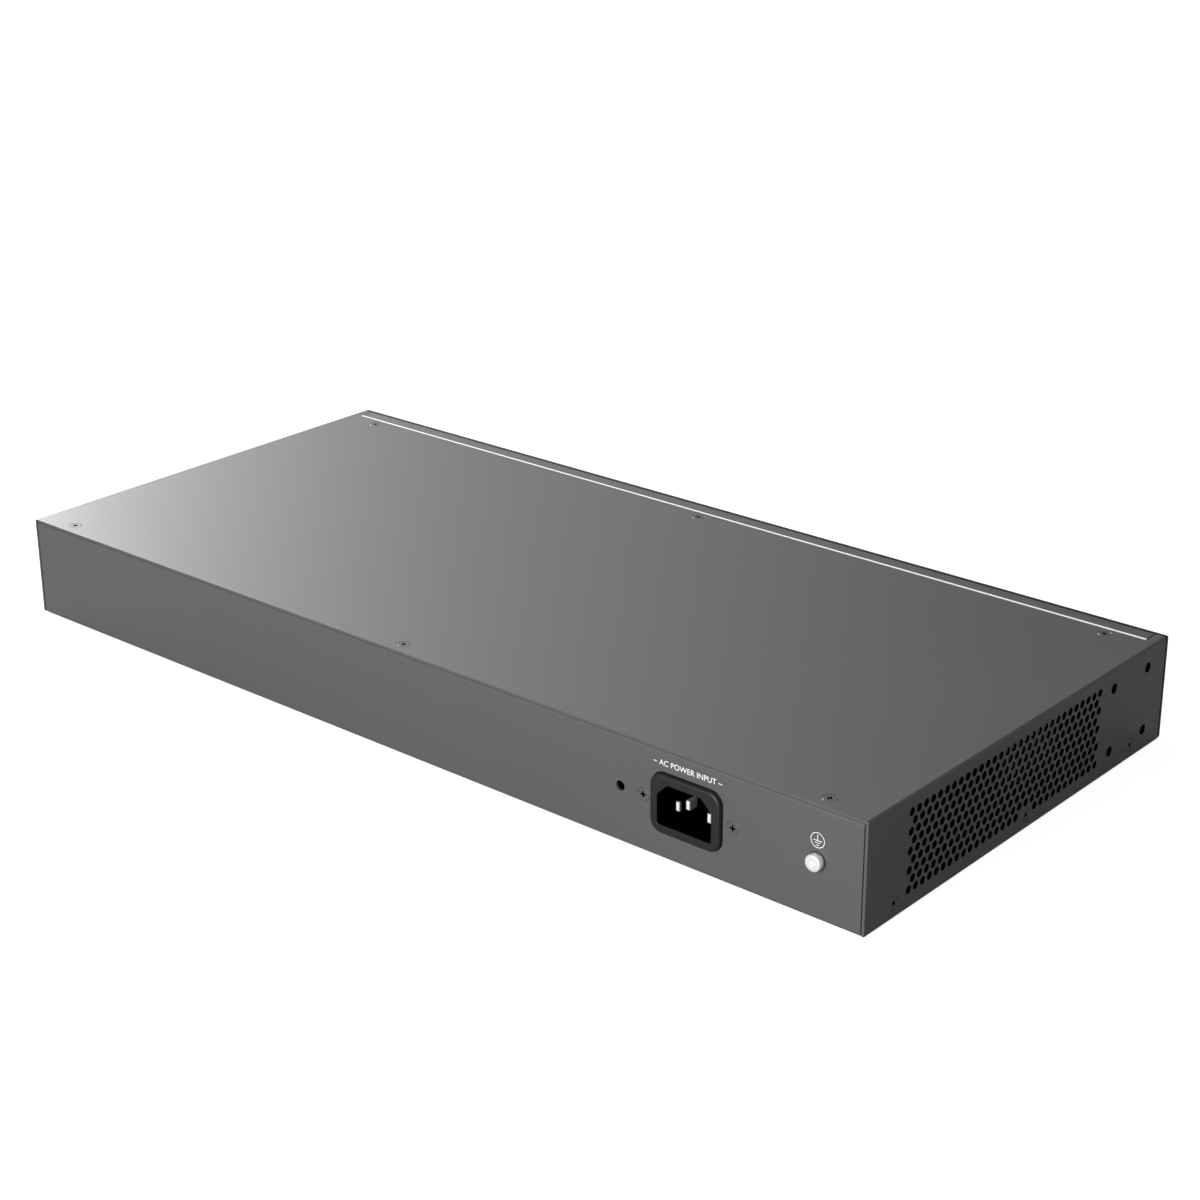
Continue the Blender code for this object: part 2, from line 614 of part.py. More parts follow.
def make_ground(finishes):
    washer_rear = REAR + GAP + WASHER
    head = washer_rear + GAP - REAR
    outward = (0, 1, 0)
    place = (GROUND_X, REAR, CENTRE_Z)
    profile = [
        (0.0, GROUND_PROUD),
        (GROUND_HEAD_RADIUS - 0.0006, GROUND_PROUD),
        (GROUND_HEAD_RADIUS, GROUND_PROUD - 0.0006),
        (GROUND_HEAD_RADIUS, head),
        (GROUND_SHANK_RADIUS, head),
        (GROUND_SHANK_RADIUS, GROUND_END - REAR),
        (0.0, GROUND_END - REAR),
    ]
    turned("ground_screw", profile, place, outward, finishes["nickel"], 16)

    bore = GROUND_HOLE_RADIUS
    ring = [(bore, GAP), (WASHER_RADIUS, GAP), (WASHER_RADIUS, GAP + WASHER), (bore, GAP + WASHER)]
    turned("ground_washer", ring, place, outward, finishes["nickel"], 16)

    terminal_rear = REAR - SHEET - GAP
    terminal = bmesh.new()
    outline = circle(GROUND_X, CENTRE_Z, TERMINAL_RADIUS, 16)
    tail = [(x, z) for x, z in outline if x < GROUND_X + 0.8 * TERMINAL_RADIUS]
    tail = sorted(tail, key=lambda p: math.atan2(p[1] - CENTRE_Z, p[0] - GROUND_X) % (2 * math.pi))
    tail_end = GROUND_X + TERMINAL_TAIL
    tail += [(tail_end, CENTRE_Z - TERMINAL_TAIL_HALF), (tail_end, CENTRE_Z + TERMINAL_TAIL_HALF)]
    add_prism(terminal, tail, "Y", terminal_rear - TERMINAL, terminal_rear)
    ring_hole = bmesh.new()
    add_prism(ring_hole, circle(GROUND_X, CENTRE_Z, bore), "Y", terminal_rear - 3 * TERMINAL, REAR)
    combine(build("earth_terminal", terminal, finishes["nickel"]), build("earth_terminal_hole", ring_hole))

    nut = bmesh.new()
    nut_front = terminal_rear - TERMINAL - GAP
    add_prism(nut, circle(GROUND_X, CENTRE_Z, NUT_RADIUS, 6, 0), "Y", nut_front - NUT_THICKNESS, nut_front)
    nut_hole = bmesh.new()
    add_prism(nut_hole, circle(GROUND_X, CENTRE_Z, bore), "Y", nut_front - 2 * NUT_THICKNESS, REAR)
    combine(build("ground_nut", nut, finishes["nickel"]), build("ground_nut_hole", nut_hole))


# ---- network jacks and fibre cages -------------------------------------------------------
def jack_columns(x):
    first = x - JACK_PITCH * (JACK_COLUMNS - 1) / 2
    return [first + JACK_PITCH * k for k in range(JACK_COLUMNS)]


def port_outline(x, row):
    """Plug opening with its latch slot, which faces away from the other row."""
    half, latch = PORT_WIDTH / 2, LATCH_WIDTH / 2
    sign = 1 if row == "upper" else -1
    edge = SEAT + JACK_HEIGHT - JACK_WALL if row == "upper" else SEAT + JACK_WALL
    shoulder = edge - sign * LATCH_HEIGHT
    floor = shoulder - sign * PORT_HEIGHT
    return [
        (x - half, floor),
        (x + half, floor),
        (x + half, shoulder),
        (x + latch, shoulder),
        (x + latch, edge),
        (x - latch, edge),
        (x - latch, shoulder),
        (x - half, shoulder),
    ]


def make_jack(name, x, finishes):
    half = JACK_WIDTH / 2
    low, high = (x - half, JACK_FRONT, SEAT), (x + half, JACK_REAR, SEAT + JACK_HEIGHT)
    housing = block(f"jack_housing_{name}", low, high, finishes["plastic"])
    ports = bmesh.new()
    for column in jack_columns(x):
        for row in ("lower", "upper"):
            add_prism(ports, port_outline(column, row), "Y", JACK_FRONT - SHEET, JACK_FRONT + PORT_DEPTH)
    combine(housing, build(f"jack_ports_{name}", ports))

    outer = GAP + SHIELD
    shell_low = (low[0] - outer, SHIELD_FRONT, SEAT)
    shell_high = (high[0] + outer, JACK_REAR + outer, high[2] + outer)
    shield = block(f"jack_shield_{name}", shell_low, shell_high, finishes["steel"])
    room = bmesh.new()
    add_box(room, (low[0] - GAP, SHIELD_FRONT - SHEET, 0.0), (high[0] + GAP, JACK_REAR + GAP, high[2] + GAP))
    combine(shield, build(f"jack_room_{name}", room))


def make_cages(finish):
    half = (SFP_PORTS * SFP_PITCH + SFP_WALL) / 2
    high = (SFP_X + half, SFP_REAR, SEAT + SFP_OPENING[1] + 2 * SFP_WALL)
    cage = block("sfp_cage", (SFP_X - half, SFP_FRONT, SEAT), high, finish)
    ports = bmesh.new()
    for x in sfp_centres():
        low_port = (x - SFP_OPENING[0] / 2, SFP_FRONT - SHEET, SEAT + SFP_WALL)
        high_port = (x + SFP_OPENING[0] / 2, SFP_FRONT + SFP_DEPTH, SEAT + SFP_WALL + SFP_OPENING[1])
        add_box(ports, low_port, high_port)
    combine(cage, build("sfp_ports", ports))


# ---- boards and what they carry ----------------------------------------------------------
SINK_LOW, SINK_HIGH = (-0.002, -0.034), (0.042, 0.010)
SINK_FINS = 9
SINK_BASE = 0.0030
SINK_HEIGHT = 0.0160
CHIP_HALF = 0.0135
CHIP_HEIGHT = 0.0020
PHY_CHIP_X = {"left": -0.062, "centre": -0.022, "right": 0.062}
PHY_CHIP_Y = -0.0500
PHY_CHIP_HALF = 0.0070
PHY_CHIP_HEIGHT = 0.0014
HEADER_TOP = 0.0170
DC_HEADER_Y = (-0.0260, -0.0140)
DC_HEADER_WIDTH = 0.0070
BOARD_HEADER_X = -0.1000
OUTPUT_HEADER_X = -0.1230


def make_main_board(finishes):
    bm = bmesh.new()
    add_prism(bm, MAIN_OUTLINE, "Z", BOARD_BOTTOM, BOARD_TOP)
    board = build("main_board", bm, finishes["board"])
    holes = bmesh.new()
    for x, y in MAIN_BOSSES:
        add_prism(holes, circle(x, y, BOARD_HOLE_RADIUS, 8), "Z", BOARD_BOTTOM - SHEET, BOARD_TOP + SHEET)
    combine(board, build("main_board_holes", holes))

    chip_x, chip_y = (SINK_LOW[0] + SINK_HIGH[0]) / 2, (SINK_LOW[1] + SINK_HIGH[1]) / 2
    chip_low = (chip_x - CHIP_HALF, chip_y - CHIP_HALF, SEAT)
    chip_high = (chip_x + CHIP_HALF, chip_y + CHIP_HALF, SEAT + CHIP_HEIGHT)
    block("switch_chip", chip_low, chip_high, finishes["chip"])

    sink_bottom = SEAT + CHIP_HEIGHT + GAP
    sink_top = sink_bottom + SINK_HEIGHT
    sink = block("switch_heatsink", (*SINK_LOW, sink_bottom), (*SINK_HIGH, sink_top), finishes["alloy"])
    slots = bmesh.new()
    pitch = (SINK_HIGH[0] - SINK_LOW[0]) / (2 * SINK_FINS - 1)
    for k in range(SINK_FINS - 1):
        left = SINK_LOW[0] + (2 * k + 1) * pitch
        low = (left, SINK_LOW[1] - SHEET, sink_bottom + SINK_BASE)
        add_box(slots, low, (left + pitch, SINK_HIGH[1] + SHEET, sink_top + SHEET))
    combine(sink, build("switch_heatsink_slots", slots))

    for name, x in PHY_CHIP_X.items():
        phy_low = (x - PHY_CHIP_HALF, PHY_CHIP_Y - PHY_CHIP_HALF, SEAT)
        phy_high = (x + PHY_CHIP_HALF, PHY_CHIP_Y + PHY_CHIP_HALF, SEAT + PHY_CHIP_HEIGHT)
        block(f"phy_chip_{name}", phy_low, phy_high, finishes["chip"])

    make_dc_header("board_power_header", BOARD_HEADER_X, finishes)


def make_dc_header(name, left, finishes):
    """White connector on a board, where the two low-voltage leads plug in."""
    low, high = (left, DC_HEADER_Y[0], SEAT), (left + DC_HEADER_WIDTH, DC_HEADER_Y[1], HEADER_TOP)
    block(name, low, high, finishes["header"])


FILM = 0.0004  # thickness of the insulating film under the power board
FILM_MARGIN = 0.0010
CORE_LOW, CORE_HIGH = (-0.1660, -0.0300, SEAT + 0.0030), (-0.1340, 0.0000, SEAT + 0.0250)
CORE_LIMB = 0.0040
WINDING_REACH = 0.0040  # how far the winding stands out of the core at each end
CAN_PLACE = (-0.1920, 0.0120, SEAT)
CAN_RADIUS = 0.0090
CAN_HEIGHT = 0.0270
CHOKE_PLACE = (-0.1920, 0.0380, SEAT)
CHOKE_RING_RADIUS = 0.0070
CHOKE_WIRE_RADIUS = 0.0042
CHOKE_CENTRE = 0.0050  # height of the ring's centre line above the board
FILTER_LOW, FILTER_HIGH = (-0.1700, 0.0240, SEAT), (-0.1520, 0.0325, SEAT + 0.0150)
POWER_SINK_LOW, POWER_SINK_HIGH = (-0.2090, -0.0400, SEAT), (-0.2060, 0.0000, SEAT + 0.0260)
MAINS_HEADER_LOW, MAINS_HEADER_HIGH = (-0.1545, 0.0460, SEAT), (-0.1341, 0.0540, HEADER_TOP)


def make_power_supply(finishes):
    board = block("power_board", (*POWER_LOW, BOARD_BOTTOM), (*POWER_HIGH, BOARD_TOP), finishes["board"])
    holes = bmesh.new()
    film_holes = bmesh.new()
    for x, y in POWER_BOSSES:
        add_prism(holes, circle(x, y, BOARD_HOLE_RADIUS, 8), "Z", BOARD_BOTTOM - SHEET, BOARD_TOP + SHEET)
        add_prism(film_holes, circle(x, y, BOSS_RADIUS + 2 * GAP, 8), "Z", 0.0, BOARD_BOTTOM)
    combine(board, build("power_board_holes", holes))

    film_low = (POWER_LOW[0] - FILM_MARGIN, POWER_LOW[1] - FILM_MARGIN, SHEET + GAP)
    film_high = (POWER_HIGH[0] + FILM_MARGIN, POWER_HIGH[1] + FILM_MARGIN, SHEET + GAP + FILM)
    film = block("power_insulator", film_low, film_high, finishes["sheet"])
    combine(film, build("power_insulator_holes", film_holes))

    make_transformer(finishes)

    can = [(0.0, 0.0), (CAN_RADIUS, 0.0), (CAN_RADIUS, CAN_HEIGHT), (0.0, CAN_HEIGHT)]
    turned("bulk_capacitor", can, CAN_PLACE, (0, 0, 1), finishes["black"], 16)

    ring = circle(CHOKE_RING_RADIUS, CHOKE_CENTRE, CHOKE_WIRE_RADIUS, 8)
    turned("mains_choke", ring, CHOKE_PLACE, (0, 0, 1), finishes["winding"], 16)

    block("mains_filter_capacitor", FILTER_LOW, FILTER_HIGH, finishes["winding"])
    block("power_heatsink", POWER_SINK_LOW, POWER_SINK_HIGH, finishes["alloy"])
    block("mains_header", MAINS_HEADER_LOW, MAINS_HEADER_HIGH, finishes["header"])
    make_dc_header("power_output_header", OUTPUT_HEADER_X, finishes)


def make_transformer(finishes):
    """Ferrite frame round a window, which the winding fills and stands out of."""
    core = block("transformer_core", CORE_LOW, CORE_HIGH, finishes["ferrite"])
    low_x, low_y, low_z = CORE_LOW
    high_x, high_y, high_z = CORE_HIGH
    window = bmesh.new()
    window_low = (low_x + CORE_LIMB, low_y - CORE_LIMB, low_z + CORE_LIMB)
    window_high = (high_x - CORE_LIMB, high_y + CORE_LIMB, high_z - CORE_LIMB)
    add_box(window, window_low, window_high)
    combine(core, build("transformer_window", window))
    inset = CORE_LIMB + GAP
    winding_low = (low_x + inset, low_y - WINDING_REACH, low_z + inset)
    winding_high = (high_x - inset, high_y + WINDING_REACH, high_z - inset)
    block("transformer_winding", winding_low, winding_high, finishes["winding"])


# ---- leads -------------------------------------------------------------------------------
LEAD_RADIUS = 0.0009


def smooth_route(points, per_span=4):
    """Catmull-Rom curve through the points of a route."""
    path = [Vector(p) for p in points]
    path = [2 * path[0] - path[1], *path, 2 * path[-1] - path[-2]]
    made = []
    for a, b, c, d in zip(path, path[1:], path[2:], path[3:]):
        square, cube = 2 * a - 5 * b + 4 * c - d, 3 * b - a - 3 * c + d
        for k in range(per_span):
            t = k / per_span
            made.append(b + 0.5 * ((c - a) * t + square * t**2 + cube * t**3))
    return [*made, path[-2]]


def lead(name, points, finish):
    curve = bpy.data.curves.new(name, "CURVE")
    curve.dimensions = "3D"
    curve.bevel_depth = LEAD_RADIUS
    curve.bevel_resolution = 2
    curve.use_fill_caps = True
    route = smooth_route(points)
    spline = curve.splines.new("POLY")
    spline.points.add(len(route) - 1)
    for point, place in zip(spline.points, route):
        point.co = (*place, 1.0)
    curve.materials.append(finish)
    made = bpy.data.objects.new(name, curve)
    bpy.context.scene.collection.objects.link(made)
    return made


def make_leads(finishes):
    behind = PIN_END - GAP
    header_top = HEADER_TOP + GAP
    for name, finish in (("line", "brown"), ("neutral", "blue")):
        x, z = PIN_PLACES[name]
        side = 1 if name == "line" else -1
        plug_x = INLET_X + side * 0.0060
        points = [(x, behind, z), (x, 0.0640, z + 0.001), (plug_x, 0.0560, z + 0.004)]
        points += [(plug_x, 0.0505, z + 0.002), (plug_x, 0.0500, header_top)]
        lead(f"{name}_lead", points, finishes[finish])
    x, z = PIN_PLACES["earth"]
    points = [(x, behind, z), (x, 0.0645, z), (x - 0.007, 0.0605, z + 0.001), (x - 0.020, 0.0620, z + 0.001)]
    points += [(-0.1780, 0.0710, z), (-0.1850, 0.0850, CENTRE_Z), (-0.1880, 0.0940, CENTRE_Z)]
    lead("earth_lead", [*points, (-0.1892, 0.0970, CENTRE_Z)], finishes["green"])
    for name, finish, y in (("positive", "red", -0.0230), ("negative", "black", -0.0170)):
        points = [(-0.1195, y, header_top), (-0.1180, y, 0.0215), (-0.1080, y, 0.0240), (-0.0980, y, 0.0215)]
        lead(f"dc_lead_{name}", [*points, (-0.0965, y, header_top)], finishes[finish])


# ---- buttons, their switches and the light pipes -----------------------------------------
def make_switch(name, x, travel, finishes):
    """Tactile switch on the board, with a pocket for the stem of its button."""
    low, high = (x - SWITCH_HALF, SWITCH_FRONT, SEAT), (x + SWITCH_HALF, SWITCH_REAR, BUTTON_Z + SWITCH_ABOVE)
    switch = block(f"{name}_switch", low, high, finishes["chip"])
    pocket = bmesh.new()
    pocket_end = SWITCH_FRONT + STEM_REACH + travel + 2 * GAP
    add_prism(pocket, circle(x, BUTTON_Z, STEM_RADIUS + GAP), "Y", SWITCH_FRONT - SHEET, pocket_end)
    combine(switch, build(f"{name}_pocket", pocket))


def make_buttons(finishes):
    stem_end = SWITCH_FRONT + STEM_REACH
    cap_end = SWITCH_FRONT - MODE_TRAVEL - 2 * GAP
    start = FRONT - MODE_PROUD
    profile = [
        (0.0, 0.0),
        (MODE_RADIUS - 0.0004, 0.0),
        (MODE_RADIUS, 0.0004),
        (MODE_RADIUS, cap_end - start),
        (STEM_RADIUS, cap_end - start),
        (STEM_RADIUS, stem_end - start),
        (0.0, stem_end - start),
    ]
    turned("mode_button", profile, (MODE_X, start, BUTTON_Z), (0, 1, 0), finishes["plastic"], 16)
    make_switch("mode", MODE_X, MODE_TRAVEL, finishes)

    reset_start = BASE_FRONT + SHEET + 0.0010
    length = stem_end - reset_start
    profile = [(0.0, 0.0), (STEM_RADIUS, 0.0), (STEM_RADIUS, length), (0.0, length)]
    turned("reset_button", profile, (RESET_X, reset_start, BUTTON_Z), (0, 1, 0), finishes["plastic"])
    make_switch("reset", RESET_X, RESET_TRAVEL, finishes)


def make_light_pipe(name, columns, z, foot, finish):
    """Clear comb: a finger for each light, joined by a bar that turns down to the board."""
    half = PIPE_FINGER[1] / 2
    side = PIPE_FINGER[0] / 2
    low, high = columns[0] - side, columns[-1] + side
    outline = [
        (FRONT - GAP, z - half),
        (PIPE_REAR, z - half),
        (PIPE_REAR, foot),
        (PIPE_REAR + 2 * half, foot),
        (PIPE_REAR + 2 * half, z + half),
        (FRONT - GAP, z + half),
    ]
    bm = bmesh.new()
    add_prism(bm, outline, "X", low, high)
    pipe = build(name, bm, finish)
    gaps = bmesh.new()
    for left, right in zip(columns, columns[1:]):
        add_box(gaps, (left + side, FRONT - SHEET, z - 0.01), (right - side, PIPE_REAR - 0.002, z + 0.01))
    return combine(pipe, build(f"{name}_gaps", gaps))


def main():
    clear_scene()
    finishes = make_finishes()
    make_base(finishes["coat"])
    make_cover(finishes["coat"])
    make_fascia(finishes["dark"])
    make_cover_screws(finishes["screw"])
    make_inlet(finishes)
    make_ground(finishes)
    for name, x in JACK_X.items():
        make_jack(name, x, finishes)
    make_cages(finishes["steel"])
    make_main_board(finishes)
    make_power_supply(finishes)
    make_leads(finishes)
    make_buttons(finishes)
    make_light_pipe("status_light_pipe", STATUS_PIPE_X, STATUS_PIPE_Z, SEAT, finishes["clear"])
    cage_roof = SEAT + SFP_OPENING[1] + 2 * SFP_WALL
    make_light_pipe("sfp_light_pipe", sfp_centres(), SFP_PIPE_Z, cage_roof + GAP, finishes["clear"])


main()
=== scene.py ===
"""Finished surfaces of a rackmount network switch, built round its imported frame."""

import math
import random

import bmesh
import bpy
from bpy.props import FloatProperty, FloatVectorProperty, IntProperty, PointerProperty, StringProperty
from mathutils import Matrix, Vector


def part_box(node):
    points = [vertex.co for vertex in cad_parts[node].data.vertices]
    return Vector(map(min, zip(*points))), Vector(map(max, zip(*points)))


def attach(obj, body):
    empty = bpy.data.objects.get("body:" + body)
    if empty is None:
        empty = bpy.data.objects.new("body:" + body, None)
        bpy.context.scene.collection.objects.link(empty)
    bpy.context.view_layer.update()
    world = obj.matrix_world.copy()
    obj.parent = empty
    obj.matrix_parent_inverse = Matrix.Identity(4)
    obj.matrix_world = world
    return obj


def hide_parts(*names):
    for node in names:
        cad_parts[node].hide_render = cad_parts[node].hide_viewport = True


bl_info = {
    "name": "Rackmount switch surfaces",
    "version": (1, 0, 0),
    "blender": (4, 5, 0),
    "location": "View3D > Sidebar > Switch",
    "description": "Builds the case, inlet, ports and materials of a rackmount network switch",
    "category": "Object",
}

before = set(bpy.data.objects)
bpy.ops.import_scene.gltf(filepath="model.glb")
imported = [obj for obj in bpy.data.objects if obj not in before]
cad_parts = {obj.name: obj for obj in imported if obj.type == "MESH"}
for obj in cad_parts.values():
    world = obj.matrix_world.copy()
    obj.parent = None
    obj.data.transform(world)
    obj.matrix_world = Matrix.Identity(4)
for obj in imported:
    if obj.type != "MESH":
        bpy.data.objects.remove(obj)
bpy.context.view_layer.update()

MM = 0.001
SHARP = 1e-6  # radius of a bend that is really a crease, and how level a rim lies
RIM_ANGLE = 0.8  # an edge this sharp is a rim
CASE = "case"
NEAR = 1e-5  # how close two places are before they count as one
COVER_LOW, COVER_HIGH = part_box("top_cover")
BASE_LOW, BASE_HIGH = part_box("base_chassis")
FASCIA_LOW, FASCIA_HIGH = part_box("front_fascia")
HALF_WIDTH, REAR, TOP = COVER_HIGH
GAP = 0.3 * MM
PRINT = 0.02 * MM  # thickness of printed ink


# ---- settings that a user would change -----------------------------------------------------
def length(name, description, default):
    return FloatProperty(name=name, description=description, default=default, unit="LENGTH", precision=5)


def colour(name, description, default):
    return FloatVectorProperty(
        name=name, description=description, default=default, subtype="COLOR", min=0.0, max=1.0
    )


class CaseSettings(bpy.types.PropertyGroup):
    """Sizes and colours of the folded steel case"""

    sheet: length("Sheet", "Thickness of the folded steel", 1.0 * MM)
    top_bend: length("Top bend", "Outer radius of the bends along the top", 0.9 * MM)
    base_bend: length("Base bend", "Outer radius of the bends along the underside", 1.2 * MM)
    vent_radius: length("Vent radius", "Radius of one round vent hole", 1.62 * MM)
    vent_pitch: length("Vent pitch", "Distance between neighbouring vent holes", 4.297 * MM)
    vent_rear: length("Vent rear", "Place along Y of the first vent hole", 75.0 * MM)
    vent_top: length("Vent top", "Height of the upper row of vent holes", 37.3 * MM)
    vent_rows: IntProperty(name="Vent rows", description="Rows of vent holes on a side", default=9)
    vent_columns: IntProperty(name="Vent columns", description="Holes in a long row", default=30)
    seam_rear: length("Seam rear", "Edge of the cover behind the front strip", -91.6 * MM)
    seam_front: length("Seam front", "Edge of the front strip before the cover", -93.2 * MM)
    strip_half: length("Strip half", "Half the length of the front strip", 215.0 * MM)
    coat: colour("Coat", "Powder coat of the case", (0.085, 0.085, 0.085))
    # Near-white: partly the bare zinc of the seam edge, partly a painted highlight.
    zinc: colour("Zinc", "Bare zinc inside the seam", (0.90, 0.90, 0.90))
    ink: colour("Ink", "Printed marks", (0.85, 0.85, 0.85))


class InletSettings(bpy.types.PropertyGroup):
    """Sizes and colours of the mains inlet and the ground screw"""

    bezel_width: length("Bezel width", "Width of the black rim", 31.0 * MM)
    bezel_height: length("Bezel height", "Height of the black rim", 23.2 * MM)
    bezel_radius: length("Bezel radius", "Radius of the rim's corners", 5.0 * MM)
    cavity_width: length("Cavity width", "Width of the plug opening", 23.9 * MM)
    cavity_height: length("Cavity height", "Height of the plug opening", 15.9 * MM)
    cavity_chamfer: length("Cavity chamfer", "Cut of the upper corners", 4.5 * MM)
    plastic: colour("Plastic", "Moulded housing", (0.010, 0.010, 0.010))
    contact: colour("Contact", "Blade pins", (0.94, 0.93, 0.91))
    nickel: colour("Nickel", "Ground screw", (0.93, 0.92, 0.90))
    label: StringProperty(name="Label", description="Generic words over it", default="~ AC POWER INPUT ~")


class FrontSettings(bpy.types.PropertyGroup):
    """Sizes and colours of the ports and the front plate"""

    port_pitch: length("Port pitch", "Distance between network ports", 13.97 * MM)
    port_columns: IntProperty(name="Port columns", description="Ports in a row of one block", default=6)
    port_width: length("Port width", "Width of a network port", 11.9 * MM)
    port_height: length("Port height", "Height of a network port", 8.0 * MM)
    fibre_pitch: length("Fibre pitch", "Distance between fibre ports", 14.4 * MM)
    fibre_ports: IntProperty(name="Fibre ports", description="Number of fibre ports", default=4)
    fascia: colour("Fascia", "Front plate", (0.014, 0.014, 0.015))
    tin: colour("Tin", "Shields and fibre cage", (0.70, 0.70, 0.70))
    gold: colour("Gold", "Spring contacts", (0.85, 0.60, 0.22))


class StageSettings(bpy.types.PropertyGroup):
    """Floor, camera and studio light"""

    floor_size: length("Floor size", "Width of the floor", 12.0)
    camera_x: length("Camera X", "Place of the camera along X", -0.6123)
    camera_y: length("Camera Y", "Place of the camera along Y", 0.6921)
    camera_z: length("Camera Z", "Height of the camera", 0.4136)
    camera_azimuth: FloatProperty(name="Azimuth", description="Where the camera stands", default=220.66)
    camera_elevation: FloatProperty(name="Elevation", description="How far it looks down", default=22.45)
    camera_roll: FloatProperty(name="Roll", description="Tilt of the picture", default=-0.23)
    lens: FloatProperty(name="Lens", description="Focal length in millimetres", default=72.69)


# ---- materials -----------------------------------------------------------------------------
class Num:
    """A number that varies over a surface; arithmetic on it adds Math nodes."""

    def __init__(self, look, socket):
        self.look = look
        self.socket = socket

    def math(self, operation, *values):
        return Num(self.look, self.look.node("ShaderNodeMath", {"operation": operation}, *values).outputs[0])

    def __add__(self, other):
        return self.math("ADD", self, other)

    def __sub__(self, other):
        return self.math("SUBTRACT", self, other)

    def __rsub__(self, other):
        return self.math("SUBTRACT", other, self)

    def __mul__(self, other):
        return self.math("MULTIPLY", self, other)

    def __gt__(self, other):
        return self.math("GREATER_THAN", self, other)

    def __lt__(self, other):
        return self.math("LESS_THAN", self, other)

    __radd__ = __add__
    __rmul__ = __mul__

    def rise(self, low, high):
        """Climbs smoothly from nothing at low to one at high."""
        smooth = {"interpolation_type": "SMOOTHSTEP"}
        made = self.look.node("ShaderNodeMapRange", smooth, self, low, high, 0.0, 1.0)
        return Num(self.look, made.outputs[0])


class Look:
    """A material in the making: its Principled shader and the nodes that feed it."""

    def __init__(self, name, colour, roughness, metallic=0.0, **constants):
        self.material = bpy.data.materials.new(name)
        self.material.use_nodes = True
        self.tree = self.material.node_tree
        self.shader = self.tree.nodes["Principled BSDF"]
        self.colour = (*colour, 1.0)
        self.roughness = roughness
        self.shader.inputs["Base Color"].default_value = self.colour
        self.shader.inputs["Roughness"].default_value = roughness
        self.shader.inputs["Metallic"].default_value = metallic
        for socket, value in constants.items():
            self.shader.inputs[socket.replace("_", " ")].default_value = value
        self.place = self.node("ShaderNodeTexCoord", {}).outputs["Object"]

    def node(self, kind, settings, *values, **named):
        made = self.tree.nodes.new(kind)
        for setting, value in settings.items():
            setattr(made, setting, value)
        pairs = list(zip(made.inputs, values))
        pairs += [(made.inputs[key.replace("_", " ")], value) for key, value in named.items()]
        for socket, value in pairs:
            self.set(socket, value)
        return made

    def set(self, socket, value):
        value = value.socket if isinstance(value, Num) else value
        if isinstance(value, bpy.types.NodeSocket):
            self.tree.links.new(value, socket)
        elif value is not None:
            socket.default_value = value

    def height(self):
        return Num(self, self.node("ShaderNodeSeparateXYZ", {}, self.place).outputs["Z"])

    def noise(self, scale, detail=2.0, rough=0.5, stretch=(1.0, 1.0, 1.0)):
        """Noise on the object's coordinates, drawn out along each axis."""
        place = self.node("ShaderNodeVectorMath", {"operation": "MULTIPLY"}, self.place, stretch).outputs[0]
        made = self.node("ShaderNodeTexNoise", {}, Vector=place, Scale=scale, Detail=detail, Roughness=rough)
        return Num(self, made.outputs["Fac"])

    def cells(self, scale):
        made = self.node("ShaderNodeTexVoronoi", {"feature": "F1"}, Vector=self.place, Scale=scale)
        return Num(self, made.outputs["Distance"])

    def attribute(self, name):
        """A number that the mesh carries at its corners."""
        return Num(self, self.node("ShaderNodeAttribute", {"attribute_name": name}).outputs["Fac"])

    def mix(self, amount, first, second):
        """Blend of two colours, each a tuple or a socket."""
        made = self.node("ShaderNodeMix", {"data_type": "RGBA"}, amount)
        for socket, value in zip(made.inputs[6:8], (first, second)):
            self.set(socket, (*value, 1.0) if isinstance(value, tuple) else value)
        return made.outputs[2]

    def shades(self, amount, spread):
        """The base colour, lightened and darkened by a share of itself."""
        dark = tuple(c * (1 - spread) for c in self.colour[:3])
        light = tuple(min(c * (1 + spread), 1.0) for c in self.colour[:3])
        return self.mix(amount, dark, light)

    def feed(self, socket, value):
        self.set(self.shader.inputs[socket], value)
        return self

    def bump(self, height, strength, distance):
        made = self.node("ShaderNodeBump", {}, Strength=strength, Distance=distance, Height=height)
        return self.feed("Normal", made.outputs["Normal"])

    def vary(self, amount, spread):
        """Roughness that wanders about its set value."""
        return self.feed("Roughness", (amount - 0.5) * (2 * spread) + self.roughness)

    def sunk(self, tone):
        """Paints shade in a recess: takes the colour and its gloss away where the recess shade mark is set.
        """
        depth = self.attribute(RECESS_SHADE)
        self.feed("Metallic", depth)
        return self.mix(depth, tone, IN_SHADE)


# Painted shade: the mark a mesh carries where a recess is darkened, and the near-black colour it takes there.
RECESS_SHADE = "recess"
IN_SHADE = (0.002, 0.002, 0.002)


def powder_coat(name, colour, shade_recesses=False):
    """Satin powder coat: fine orange peel and faint clouding, with painted shade that darkens it in a recess.
    """
    look = Look(name, colour, 0.46, Specular_IOR_Level=0.5)
    peel = look.noise(1500.0, 3.0, 0.55)
    speck = look.noise(5200.0, 2.0, 0.5)
    clouds = look.noise(14.0, 3.0, 0.55)
    coat = look.shades(clouds * 0.7 + speck * 0.3, 0.045)
    # Where asked, painted shade darkens the coat and takes its gloss away in recesses.
    look.feed("Base Color", look.sunk(coat) if shade_recesses else coat)
    look.vary(clouds * 0.6 + peel * 0.4, 0.05)
    return look.bump(peel * 0.8 + speck * 0.2, 0.18, 0.06 * MM).material


